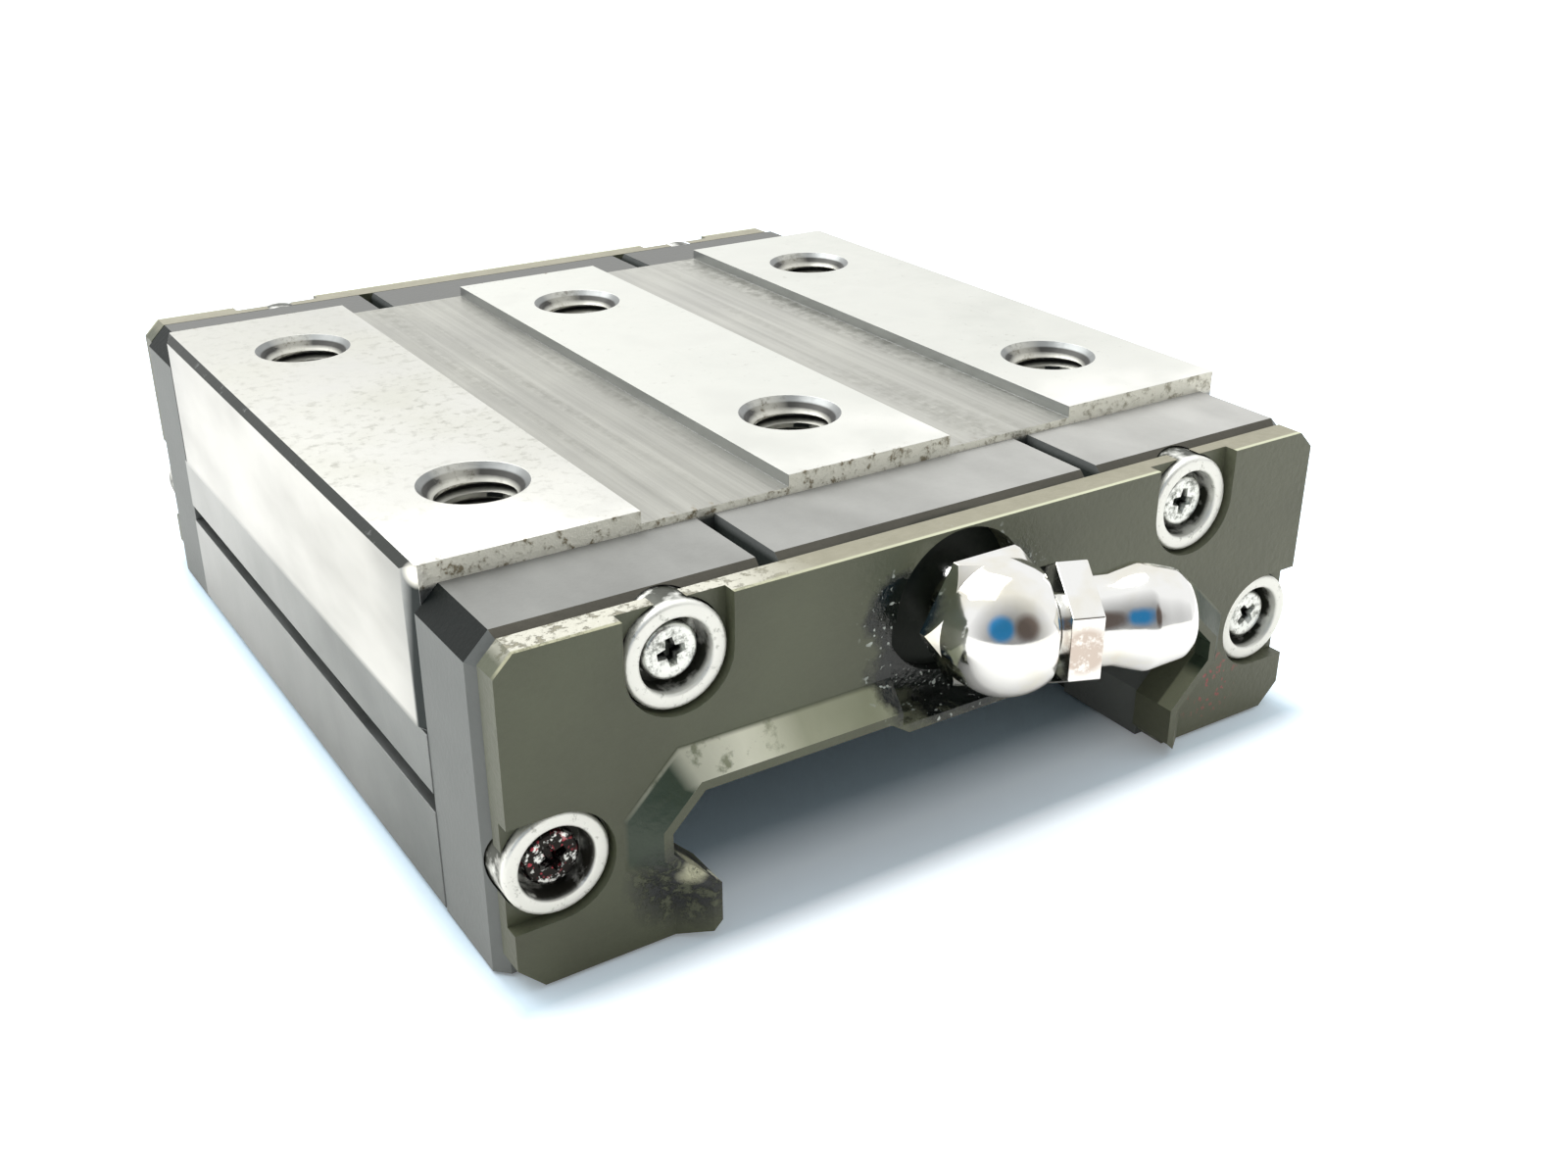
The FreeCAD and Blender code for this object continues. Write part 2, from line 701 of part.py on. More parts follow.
def seal_lip(body):
    """The raised lip: a flare that narrows from the seal's face to a thin edge all along the rail."""
    foot = "seal_bottom + seal_foot_chamfer * 0.6"
    steps = (
        (SEAL_FACE, "seal_flare", "seal_bottom"),
        (f"{SEAL_FACE} + seal_lip_reach", "seal_lip_edge", f"{foot} - seal_lip_edge"),
    )
    profiles = []
    for offset, grow, base in steps:
        outer = rail_contour(f"seal_rail_gap + {grow}")
        outer.append((f"rail_waist_half + seal_rail_gap + {grow}", base))
        half = seal_contour() + outer[::-1]
        profile = new_sketch(body, offset=offset)
        outline(profile, half[::-1] + [(f"-({across})", up) for across, up in half])
        profiles.append(profile)
    document.recompute()
    loft = body.newObject("PartDesign::AdditiveLoft", body.Name + "_lip")
    loft.Profile = profiles[0]
    loft.Sections = profiles[1:]
    loft.Ruled = True
    document.recompute()


def collars(label, turn):
    """Turned cups that set the seal's squeeze and sink the screw heads."""
    body = new_body(label)
    rim = f"{SEAL_FACE} - collar_rim_set_back"
    steps = (
        ("collar_radius", "collar_length"),
        ("collar_bore_radius", "collar_length - collar_floor"),
        ("screw_radius + screw_fit", "collar_length"),
    )
    for radius, length in steps:
        sketch = new_sketch(body, offset=rim)
        for across, height in SCREW_PLACES:
            circle(sketch, across, height, radius)
        if body.Tip:
            pocket(body, sketch, length)
        else:
            pad(body, sketch, length, Reversed=True)
    settle(body, label, turn)


def screws(label, turn):
    """Small pan-head screws through collar, seal and cap into the block's end face."""
    body = new_body(label)
    seat = f"{SEAL_FACE} - collar_rim_set_back - collar_length + collar_floor"
    heads = new_sketch(body, offset=seat)
    shanks = new_sketch(body, offset=seat)
    for across, height in SCREW_PLACES:
        circle(heads, across, height, "screw_head_radius")
        circle(shanks, across, height, "screw_radius")
    pad(body, heads, "screw_head_length")
    pad(body, shanks, f"{seat} - {END_FACE} + screw_grip", Reversed=True)
    for wide, tall in (("recess_arm", "recess_width / 2"), ("recess_width / 2", "recess_arm")):
        recess = new_sketch(body, offset=f"{seat} + screw_head_length")
        for across, height in SCREW_PLACES:
            box_outline(recess, (f"{across} - {wide}", f"{height} - {tall}"),
                        (f"{across} + {wide}", f"{height} + {tall}"))
        pocket(body, recess, "recess_depth")
    settle(body, label, turn)


def nipple_elbow():
    """Turned elbow with a milled hexagon and a ball end, faced and bored across for the spout."""
    body = new_body("grease_nipple_elbow")
    inner_end = f"-({CAP_FACE} - nipple_thread_length)"
    back = f"{SEAL_FACE} + nipple_hex_back"
    taper = f"{back} + nipple_hex_land"
    bar_radius = "nipple_hex_flats * 0.6"
    profile = new_sketch(body, "YZ_Plane")
    tie(profile, AttachmentOffset__Base__y="port_height")
    outline(profile, [
        (inner_end, "0"),
        (inner_end, "port_radius"),
        (f"-({back})", "port_radius"),
        (f"-({back})", bar_radius),
        (f"-({taper})", bar_radius),
        (f"-({taper} + nipple_hex_taper)", "nipple_ball_radius"),
        (f"-({ELBOW})", "nipple_ball_radius"),
        (f"-({ELBOW})", "0"),
    ])
    revolve(body, profile)
    primitive(body, "AdditiveSphere", ("0", f"-({ELBOW})", "port_height"), Radius="nipple_ball_radius")
    document.recompute()
    flats = new_sketch(body, offset=back)
    circle(flats, "0", "port_height", "nipple_hex_flats")
    hexagon(flats, "0", "port_height", "nipple_hex_flats")
    pocket(body, flats, f"{ELBOW} - ({back}) + nipple_ball_radius", Reversed=True)
    duct = new_sketch(body, offset=f"{CAP_FACE} - nipple_thread_length")
    circle(duct, "0", "port_height", "nipple_bore_radius")
    pocket(body, duct, f"{ELBOW} - ({CAP_FACE}) + nipple_thread_length", Reversed=True)
    crossings = (
        ("nipple_hex_flats", "elbow_face"),
        ("spout_socket_radius", "spout_socket_start"),
        ("nipple_bore_radius", "0"),
    )
    for radius, start in crossings:
        cross = new_sketch(body, "YZ_Plane")
        cross.AttachmentOffset = FreeCAD.Placement(
            FreeCAD.Vector(), FreeCAD.Rotation(FreeCAD.Vector(0, 1, 0), -1))
        tie(cross, AttachmentOffset__Base__x=f"-({ELBOW}) - ({start}) * cos(nipple_tilt)",
            AttachmentOffset__Base__y="port_height",
            AttachmentOffset__Base__z=f"({start}) * sin(nipple_tilt)",
            AttachmentOffset__Rotation__Angle="nipple_tilt - 90")
        circle(cross, "0", "0", radius)
        pocket(body, cross, "nipple_hex_flats", Reversed=True)
    settle(body, "grease_nipple_elbow")


def settle_on_spout(item, label):
    """Places a piece drawn along X so that its X runs out of the elbow along the spout."""
    settle(item, label, -1, ("0", f"-({ELBOW})", "port_height"), (0, 0, 1), "nipple_tilt - 90")


def nipple_spout():
    """Turned spout with a hexagon and a bulb-shaped head for the grease gun, pressed into the elbow."""
    body = new_body("grease_nipple_spout")
    profile = new_sketch(body)
    outline(profile, [
        ("spout_socket_start", "0"),
        ("spout_socket_start", "spout_socket_radius"),
        (HEX_END, "spout_socket_radius"),
        (HEX_END, "spout_neck_radius"),
        (BULB_START, "spout_neck_radius"),
        (f"{BULB_START} + spout_bulb_widest", "spout_bulb_radius"),
        (f"{SPOUT_END} - spout_waist_from_end", "spout_waist_radius"),
        (SPOUT_END, "spout_end_radius"),
        (SPOUT_END, "0"),
    ])
    revolve(body, profile)
    rims = []
    for index, edge in enumerate(body.Shape.Edges, start=1):
        size = edge.BoundBox
        widest = abs(size.ZMax - value_of("spout_bulb_radius")) < 1e-6
        waist = abs(size.ZMax - value_of("spout_waist_radius")) < 1e-6
        if size.XLength < 1e-6 and (widest or waist):
            rims.append(f"Edge{index}")
    dress(body, "Fillet", rims, Radius="spout_rounding")
    flats = new_sketch(body, "YZ_Plane", "spout_hex_start")
    hexagon(flats, "0", "0", "spout_hex_flats", "spout_hex_turn")
    pad(body, flats, "spout_hex_length")
    bores = (
        ("spout_duct_radius", "0", "valve_bore_start"),
        ("valve_bore_radius", "valve_bore_start", f"{SPOUT_END} - spout_mouth_depth"),
        ("spout_mouth_radius", f"{SPOUT_END} - spout_mouth_depth", f"{SPOUT_END} + 1"),
    )
    for radius, start, end in bores:
        bore = new_sketch(body, "YZ_Plane", start)
        circle(bore, "0", "0", radius)
        pocket(body, bore, f"({end}) - ({start})", Reversed=True)
    settle_on_spout(body, "grease_nipple_spout")


def nipple_valve():
    """The spring-loaded ball that closes the spout's mouth, and its coil spring."""
    ball = new_body("nipple_valve_ball")
    primitive(ball, "AdditiveSphere", (VALVE_CENTRE, "0", "0"), Radius="valve_ball_radius")
    settle_on_spout(ball, "nipple_valve_ball")
    coil, wire = value_of("spring_radius"), value_of("spring_wire_radius")
    start = value_of("valve_bore_start") + wire
    rest = math.sqrt((value_of("valve_ball_radius + valve_ball_fit") + wire) ** 2 - coil ** 2)
    length = value_of(VALVE_CENTRE) - rest - start
    path = Part.makeLongHelix(length / value_of("spring_turns"), length, coil)
    end = FreeCAD.Vector(coil, 0, 0)
    section = Part.Wire(Part.makeCircle(wire, end, FreeCAD.Vector(0, 1, 0)))
    solid = Part.Wire(path).makePipeShell([section], True, True)
    solid.Placement = FreeCAD.Placement(
        FreeCAD.Vector(start, 0, 0), FreeCAD.Rotation(FreeCAD.Vector(0, 1, 0), 90))
    spring = document.addObject("Part::Feature", "nipple_spring")
    spring.Shape = Part.makeCompound([solid])
    settle_on_spout(spring, "nipple_spring")


def port_plug():
    """Socket set screw that closes the grease port of the rear cap."""
    body = new_body("rear_port_plug")
    shank = new_sketch(body, offset=CAP_FACE)
    circle(shank, "0", "port_height", "port_radius")
    pad(body, shank, "plug_length", Reversed=True)
    socket = new_sketch(body, offset=CAP_FACE)
    hexagon(socket, "0", "port_height", "plug_socket_flats")
    pocket(body, socket, "plug_socket_depth")
    settle(body, "rear_port_plug", 180)


def build_all():
    steel_block()
    for end, turn in ENDS:
        end_cap(f"{end}_end_cap", turn)
        end_seal(f"{end}_end_seal", turn)
        collars(f"{end}_seal_collars", turn)
        screws(f"{end}_seal_screws", turn)
    for side, sign in SIDES:
        retainers(side, 0 if sign > 0 else 180)
        for row in ROWS:
            return_tube(row, side, sign)
            ball_circuit(row, side, sign)
            for end, turn in ENDS:
                turn_guide(row, side, sign, end, turn)
    nipple_elbow()
    nipple_spout()
    nipple_valve()
    port_plug()


def export_all():
    """Checks every object and piece, then writes one file for each piece."""
    document.recompute()
    for item in document.Objects:
        if "Invalid" in item.State or "Error" in item.State:
            raise RuntimeError(f"{item.Label}: {item.State}")
    for item in finished:
        if item.Shape.isNull() or not item.Shape.isValid():
            raise RuntimeError(f"{item.Label} has no valid shape")
    if len(finished) > MAX_FILES:
        raise RuntimeError("too many pieces for one folder")
    os.makedirs("parts", exist_ok=True)
    for item in finished:
        item.Shape.exportStep(f"parts/{item.Label}.step")


build_all()
export_all()
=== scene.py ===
import math

import bmesh
import bpy
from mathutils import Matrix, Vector


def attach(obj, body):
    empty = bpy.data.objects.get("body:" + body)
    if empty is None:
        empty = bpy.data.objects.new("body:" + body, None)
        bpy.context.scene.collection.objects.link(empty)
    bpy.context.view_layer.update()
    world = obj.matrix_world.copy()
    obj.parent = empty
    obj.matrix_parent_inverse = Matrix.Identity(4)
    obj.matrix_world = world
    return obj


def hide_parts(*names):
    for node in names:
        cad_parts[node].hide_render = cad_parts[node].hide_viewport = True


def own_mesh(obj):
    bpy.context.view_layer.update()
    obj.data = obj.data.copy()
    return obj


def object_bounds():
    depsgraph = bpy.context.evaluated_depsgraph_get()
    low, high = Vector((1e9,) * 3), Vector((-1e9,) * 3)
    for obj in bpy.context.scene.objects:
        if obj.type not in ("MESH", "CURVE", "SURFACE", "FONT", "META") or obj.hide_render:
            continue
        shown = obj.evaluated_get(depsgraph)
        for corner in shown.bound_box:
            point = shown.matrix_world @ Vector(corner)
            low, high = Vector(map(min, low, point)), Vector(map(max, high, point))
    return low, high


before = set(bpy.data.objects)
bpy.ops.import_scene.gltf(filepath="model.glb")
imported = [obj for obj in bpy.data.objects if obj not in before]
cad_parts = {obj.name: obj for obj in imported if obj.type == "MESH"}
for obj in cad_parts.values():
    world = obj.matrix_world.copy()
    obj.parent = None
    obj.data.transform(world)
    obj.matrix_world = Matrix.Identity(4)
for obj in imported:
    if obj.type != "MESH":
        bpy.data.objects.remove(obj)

cad_box = [list(corner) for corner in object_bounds()]

# Steel block: hardened steel, ground bright on three mounting pads and a band along each side, and
# milled in between. The races and the channel for the rail are cut from below. Six M6 holes are
# tapped from the pads, and everything else on the carriage is screwed or clipped to this piece.


def new_finish(name):
    """A material with its tree and its surface shader."""
    finish = bpy.data.materials.new(name)
    finish.use_nodes = True
    return finish, finish.node_tree, finish.node_tree.nodes["Principled BSDF"]


def put(tree, kind, inputs=None, output=0, **settings):
    """Adds a shader or geometry node, fills or wires its inputs and returns one of its outputs."""
    node = tree.nodes.new(kind if "Node" in kind else "ShaderNode" + kind)
    for name, value in settings.items():
        setattr(node, name, value)
    for name, value in (inputs or {}).items():
        if isinstance(value, bpy.types.NodeSocket):
            tree.links.new(value, node.inputs[name])
        else:
            node.inputs[name].default_value = value
    return node.outputs[output]


def along(tree, vector, letter):
    """A vector's part along one axis."""
    return put(tree, "SeparateXYZ", {"Vector": vector}, output="XYZ".index(letter))


def gate(tree, value, low, high):
    """0 where the value is at low, 1 where it is at high, and straight in between."""
    return put(tree, "MapRange", {"Value": value, "From Min": low, "From Max": high})


def maths(tree, operation, first, second=0.0):
    """One step of arithmetic on sockets or numbers."""
    return put(tree, "Math", {0: first, 1: second}, operation=operation)


def both(tree, *masks):
    """Where all the masks hold."""
    result = masks[0]
    for mask in masks[1:]:
        result = maths(tree, "MULTIPLY", result, mask)
    return result


def flat_length(tree, first, second):
    """The length of a flat vector from its two parts."""
    squares = [maths(tree, "POWER", part, 2.0) for part in (first, second)]
    return maths(tree, "SQRT", maths(tree, "ADD", *squares))


def size_along(tree, vector, letter):
    """The size of a vector's part along an axis, whatever its sign."""
    return maths(tree, "ABSOLUTE", along(tree, vector, letter))


def either(tree, *masks):
    """Where any of the masks holds."""
    result = masks[0]
    for mask in masks[1:]:
        result = maths(tree, "MAXIMUM", result, mask)
    return result


def mixed(tree, share, first, second):
    """The first colour where the share is 0, the second where it is 1."""
    colours = [(*c, 1) if isinstance(c, tuple) else c for c in (first, second)]
    return put(tree, "Mix", {0: share, 6: colours[0], 7: colours[1]}, output=2, data_type="RGBA")


def grain(tree, place, size, stretch=(1, 1, 1), detail=3.0, roughness=0.5, shift=0.0):
    """Cloudy noise from 0 to 1 whose lumps are about the given size, in metres."""
    spread = put(tree, "VectorMath", {0: place, 1: stretch}, operation="MULTIPLY")
    moved = put(tree, "VectorMath", {0: spread, 1: (shift, shift, shift)}, operation="ADD")
    return put(tree, "TexNoise", {
        "Vector": moved, "Scale": 1 / size, "Detail": detail, "Roughness": roughness})


def dented(tree, surface, height, depth):
    """Bump of the given depth, in metres, on the surface's normal."""
    bump = put(tree, "Bump", {"Height": height, "Distance": depth, "Strength": 1.0})
    tree.links.new(bump, surface.inputs["Normal"])


def around(tree, place, centre, inner, outer):
    """1 within the inner distance of a point, 0 past the outer distance."""
    away = put(tree, "VectorMath", {0: place, 1: centre}, output=1, operation="DISTANCE")
    return gate(tree, away, outer, inner)


def tint(tree, surface, colour, roughness):
    """Wires a colour and a roughness, which may be a number, into the surface."""
    tree.links.new(colour, surface.inputs["Base Color"])
    if isinstance(roughness, float):
        surface.inputs["Roughness"].default_value = roughness
    else:
        tree.links.new(roughness, surface.inputs["Roughness"])


def linked(name, mesh):
    """A new object with the mesh, in the scene at the origin."""
    obj = bpy.data.objects.new(name, mesh)
    bpy.context.scene.collection.objects.link(obj)
    return obj


def plain_mesh(obj):
    """Turns an object and its modifiers into a plain mesh at the origin."""
    graph = bpy.context.evaluated_depsgraph_get()
    mesh = bpy.data.meshes.new_from_object(obj.evaluated_get(graph), depsgraph=graph)
    obj.modifiers.clear()
    obj.data = mesh
    return obj


def solid_copy(node, name):
    """A copy of one CAD solid with its doubles merged and its flat faces joined up."""
    work = bmesh.new()
    work.from_mesh(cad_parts[node].data)
    bmesh.ops.remove_doubles(work, verts=work.verts, dist=2e-6)
    bmesh.ops.dissolve_limit(work, angle_limit=math.radians(0.4), verts=work.verts, edges=work.edges)
    mesh = bpy.data.meshes.new(name)
    mesh.from_pydata([v.co[:] for v in work.verts], [], [[v.index for v in f.verts] for f in work.faces])
    work.free()
    return linked(name, mesh)


def break_edges(obj, width, share=None, segments=2, angle=28):
    """Rounds the sharp edges. A share may give each edge's part of the width from its middle."""
    work = bmesh.new()
    work.from_mesh(obj.data)
    weight = work.edges.layers.float.new("bevel_weight_edge")
    for face in work.faces:
        face.smooth = True
    for edge in work.edges:
        if len(edge.link_faces) == 2 and edge.calc_face_angle() > math.radians(angle):
            middle = (edge.verts[0].co + edge.verts[1].co) / 2
            edge[weight] = share(middle) if share else 1.0
            edge.smooth = edge[weight] > 0
    work.to_mesh(obj.data)
    work.free()
    bevel = obj.modifiers.new("broken_edges", "BEVEL")
    bevel.width = width
    bevel.segments = segments
    bevel.limit_method = "WEIGHT"
    bevel.harden_normals = True
    bevel.use_clamp_overlap = True
    return plain_mesh(obj)


def carve(obj, cutter):
    """Takes the cutter's shape out of an object and removes the cutter."""
    cut = obj.modifiers.new("carved", "BOOLEAN")
    cut.operation = "DIFFERENCE"
    cut.solver = "MANIFOLD"
    cut.object = cutter
    plain_mesh(obj)
    bpy.data.objects.remove(cutter)
    return obj


def dress(obj, finish):
    """Gives an object one material in place of any that it has."""
    obj.data.materials.clear()
    obj.data.materials.append(finish)
    return obj


def seat(obj, slot, *nodes):
    """Puts a finished piece on the carriage in place of its CAD nodes. The slot is not used."""
    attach(obj, "carriage")
    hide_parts(*nodes)


def node_group(name, **inputs):
    """A geometry tree with named inputs, and the outputs that bring their values in."""
    tree = bpy.data.node_groups.new(name, "GeometryNodeTree")
    tree.interface.new_socket("Geometry", in_out="INPUT", socket_type="NodeSocketGeometry")
    tree.interface.new_socket("Geometry", in_out="OUTPUT", socket_type="NodeSocketGeometry")
    for label, kind in inputs.items():
        tree.interface.new_socket(label, in_out="INPUT", socket_type="NodeSocket" + kind)
    return tree, tree.nodes.new("NodeGroupInput").outputs


def hand_out(tree, geometry, material):
    """Ends a geometry tree: real geometry in one material."""
    whole = put(tree, "GeometryNodeRealizeInstances", {"Geometry": geometry})
    clad = put(tree, "GeometryNodeSetMaterial", {"Geometry": whole, "Material": material})
    result = tree.nodes.new("NodeGroupOutput")
    tree.links.new(clad, result.inputs[0])


def grow(name, points, tree, edges=(), **values):
    """A plain mesh that a geometry tree makes from points, and from edges between them."""
    mesh = bpy.data.meshes.new(name)
    mesh.from_pydata(points, edges, [])
    obj = linked(name, mesh)
    build = obj.modifiers.new(tree.name, "NODES")
    build.node_group = tree
    for item in tree.interface.items_tree:
        if item.in_out == "INPUT" and item.name in values:
            build[item.identifier] = values[item.name]
    return plain_mesh(obj)


HOLE_ACROSS = 0.023
HOLE_ALONG = 0.016
HOLE_ZONE = 0.0034
BROKEN_EDGE = 0.00008
steel, tree, surface = new_finish("ground_and_milled_steel")
place = put(tree, "TexCoord", output=3)
facing = put(tree, "NewGeometry", output=1)
across = along(tree, place, "X")
depth = along(tree, place, "Y")
height = along(tree, place, "Z")
out = size_along(tree, place, "X")
end = size_along(tree, place, "Y")
rise = along(tree, facing, "Z")
side_turn = size_along(tree, facing, "X")
end_turn = size_along(tree, facing, "Y")

# Which of the block's surfaces a point is on.
up = gate(tree, rise, 0.85, 0.97)
pad = both(tree, up, gate(tree, height, -0.0005, -0.0003))
groove = both(tree, up, gate(tree, height, -0.0012, -0.001), gate(tree, height, -0.0003, -0.0005))
band = both(tree, gate(tree, side_turn, 0.95, 0.98), gate(tree, out, 0.03092, 0.03097))
channel = both(tree, gate(tree, height, -0.0090, -0.0098), gate(tree, out, 0.0275, 0.0265))
low_side = both(tree, gate(tree, side_turn, 0.9, 0.98), gate(tree, height, -0.0100, -0.0106),
                gate(tree, out, 0.0300, 0.0305))
# Painted reflection: the long chamfer between the top and each side is painted dark, flecked lighter, as a
# dark reflection.
shoulder = both(tree, gate(tree, side_turn, 0.4, 0.55), gate(tree, side_turn, 0.9, 0.8),
                gate(tree, rise, 0.4, 0.55), gate(tree, height, -0.0008, -0.0006),
                gate(tree, out, 0.0299, 0.0301))
# Painted reflection: the block's vertical corner chamfers are painted near black, as a dark reflection.
relief_strip = both(tree, gate(tree, side_turn, 0.60, 0.68), gate(tree, end_turn, 0.30, 0.40))
near_top = gate(tree, height, -0.0016, -0.0013)
brink = both(tree, gate(tree, end_turn, 0.6, 0.85), near_top)
brink_edge = both(tree, gate(tree, end, 0.0246, 0.0254), near_top)
# A near-white spot on the front left top corner.
pale_corner_spot = around(tree, place, (-0.0306, -0.0253, -0.0006), 0.0004, 0.0009)
hole_x = maths(tree, "MINIMUM", out,
               maths(tree, "ABSOLUTE", maths(tree, "SUBTRACT", out, HOLE_ACROSS)))
hole_r = flat_length(tree, hole_x, maths(tree, "SUBTRACT", end, HOLE_ALONG))
bore = both(tree, gate(tree, hole_r, 0.0033, 0.0031), gate(tree, height, -0.0003, -0.0004),
            gate(tree, height, -0.0085, -0.0080))
crest = gate(tree, hole_r, 0.00285, 0.00262)

# Grain of the grinding, the milling and the wear, and the tones that it mixes.
cloud = grain(tree, place, 0.009, detail=5)
speck = grain(tree, place, 0.0009, detail=4, roughness=0.65)
streak = grain(tree, place, 0.0007, stretch=(1, 0.02, 1), detail=3, roughness=0.6)
long_streak = grain(tree, place, 0.0030, stretch=(1, 0.05, 1), detail=4)
side_cloud = grain(tree, place, 0.006, stretch=(1, 0.35, 1), shift=3.0)
brink_spots = grain(tree, place, 0.0007, detail=4, roughness=0.7, shift=7.0)
satin = mixed(tree, grain(tree, place, 0.0007, stretch=(1, 0.15, 1)),
              (0.27, 0.285, 0.28), (0.37, 0.38, 0.375))
milled = mixed(tree, gate(tree, streak, 0.25, 0.75), (0.44, 0.44, 0.40), (0.60, 0.60, 0.55))
milled = mixed(tree, both(tree, gate(tree, long_streak, 0.52, 0.7), gate(tree, speck, 0.4, 0.6)),
               milled, (0.33, 0.33, 0.29))
milled = mixed(tree, gate(tree, across, 0.006, -0.010),
               milled, mixed(tree, 0.28, milled, (0.20, 0.20, 0.17)))
# The left pad is darker than the others; the pads turn paler towards the near end and darker at the far
# left.
left_pad_tone = mixed(tree, gate(tree, cloud, 0.35, 0.65), (0.75, 0.75, 0.705), (0.56, 0.56, 0.505))
left_pad_tone = mixed(tree, both(tree, gate(tree, speck, 0.52, 0.66), gate(tree, cloud, 0.36, 0.55)),
             left_pad_tone, (0.45, 0.45, 0.40))
bright = mixed(tree, gate(tree, cloud, 0.45, 0.70), (0.80, 0.81, 0.755), (0.68, 0.69, 0.645))
bright = mixed(tree, both(tree, gate(tree, speck, 0.62, 0.72), gate(tree, cloud, 0.42, 0.6)),
               bright, (0.54, 0.54, 0.50))
ground = mixed(tree, gate(tree, across, -0.0165, -0.006), left_pad_tone, bright)
near_end = both(tree, gate(tree, depth, -0.0140, -0.0250), gate(tree, cloud, 0.34, 0.60))
far_end = both(tree, gate(tree, depth, -0.004, 0.020), gate(tree, across, -0.014, -0.018))
ground = mixed(tree, maths(tree, "MULTIPLY", far_end, 0.55), ground, (0.52, 0.52, 0.48))
ground = mixed(tree, near_end, ground, (0.95, 0.95, 0.90))
polished = mixed(tree, gate(tree, side_cloud, 0.4, 0.75), (0.68, 0.68, 0.65), (0.50, 0.50, 0.475))
# Painted reflection: the lower side is painted dark near the front and lighter towards the rear, as glare.
low_side_painted_glare = mixed(tree, gate(tree, depth, -0.024, 0.022), (0.155, 0.170, 0.165), (0.40, 0.41, 0.40))
# Painted shade and glints: the thread roots are painted dark and the crests bright.
thread_painted_shade_and_glint = mixed(tree, crest, (0.06, 0.06, 0.055), (0.62, 0.62, 0.56))
brown = both(tree, gate(tree, brink_spots, 0.60, 0.68), gate(tree, across, 0.012, -0.004))
brink_tone = mixed(tree, gate(tree, brink_spots, 0.50, 0.66), (0.96, 0.95, 0.84), (0.44, 0.42, 0.33))
brink_tone = mixed(tree, brown, brink_tone, (0.20, 0.14, 0.07))
rust = both(tree, brink_edge, gate(tree, brink_spots, 0.58, 0.68), gate(tree, across, 0.016, 0.0))

colour = satin
for where, tone in (
        (groove, milled),
        (pad, ground),
        (band, polished),
        (channel, (0.17, 0.18, 0.175)),
        (bore, thread_painted_shade_and_glint),
        (low_side, low_side_painted_glare),
        (both(tree, shoulder, gate(tree, speck, 0.74, 0.62)), (0.055, 0.060, 0.055)),
        (relief_strip, (0.030, 0.036, 0.036)),
        (brink, brink_tone),
        (rust, (0.30, 0.26, 0.18)),
        (pale_corner_spot, (0.98, 0.97, 0.88))):
    colour = mixed(tree, where, colour, tone)
rough = put(tree, "MapRange", {
    "Value": cloud, "From Min": 0.3, "From Max": 0.7, "To Min": 0.30, "To Max": 0.46})
tint(tree, surface, colour, rough)
dull = either(tree, bore, maths(tree, "MULTIPLY", brink, 2.0))
metal = put(tree, "MapRange", {"Value": dull, "From Max": 2.0, "To Min": 0.92, "To Max": 0.30})
tree.links.new(metal, surface.inputs["Metallic"])
relief = maths(tree, "ADD", maths(tree, "MULTIPLY", streak, groove), maths(tree, "MULTIPLY", speck, 0.35))
pits = maths(tree, "MULTIPLY", brink_spots, maths(tree, "MULTIPLY", brink, 3.0))
relief = maths(tree, "ADD", relief, pits)
dented(tree, surface, relief, 0.00004)

# The tap's helical tooth, swept up through each hole, leaves an open thread.
tooth_tree, given = node_group("tap_tooth", Pitch="Float", Turns="Float", Radius="Float",
                               Tooth="Float", Material="Material")
climb = put(tooth_tree, "Math", {0: given["Pitch"], 1: given["Turns"]}, operation="MULTIPLY")
helix = put(tooth_tree, "GeometryNodeCurveSpiral", {
    "Resolution": 28, "Rotations": given["Turns"], "Start Radius": given["Radius"],
    "End Radius": given["Radius"], "Height": climb})
helix = put(tooth_tree, "GeometryNodeSetCurveNormal", {"Curve": helix}, mode="Z_UP")
vee = put(tooth_tree, "GeometryNodeCurvePrimitiveCircle", {"Resolution": 3, "Radius": given["Tooth"]})
vee = put(tooth_tree, "GeometryNodeTransform", {
    "Geometry": vee, "Rotation": (0, 0, math.pi), "Scale": (1.0, 1.25, 1.0)})
tooth = put(tooth_tree, "GeometryNodeCurveToMesh", {
    "Curve": helix, "Profile Curve": vee, "Fill Caps": True})
taps = put(tooth_tree, "GeometryNodeInstanceOnPoints", {"Points": given["Geometry"], "Instance": tooth})
hand_out(tooth_tree, taps, given["Material"])
THREAD_START = -0.0072
THREAD_PITCH = 0.001
THREAD_TURNS = 6.9
TOOTH_PATH_RADIUS = 0.00258
TOOTH_SIZE = 0.0004
hole_places = [(x, y) for x in (-HOLE_ACROSS, 0, HOLE_ACROSS) for y in (-HOLE_ALONG, HOLE_ALONG)]
taps = grow("taps", [(x, y, THREAD_START) for x, y in hole_places], tooth_tree,
            Pitch=THREAD_PITCH, Turns=THREAD_TURNS, Radius=TOOTH_PATH_RADIUS, Tooth=TOOTH_SIZE,
            Material=steel)


def steel_edge(middle):
    """Edges inside the tapped holes stay sharp, and the others are broken."""
    nearest_hole = min(math.hypot(middle.x - x, middle.y - y) for x, y in hole_places)
    return 0.0 if nearest_hole < HOLE_ZONE and middle.z < -0.0003 else 1.0


block = carve(solid_copy("steel_block", "steel_carriage"), taps)
break_edges(block, BROKEN_EDGE, steel_edge)
dress(block, steel)
seat(block, "ground_steel", "steel_block")
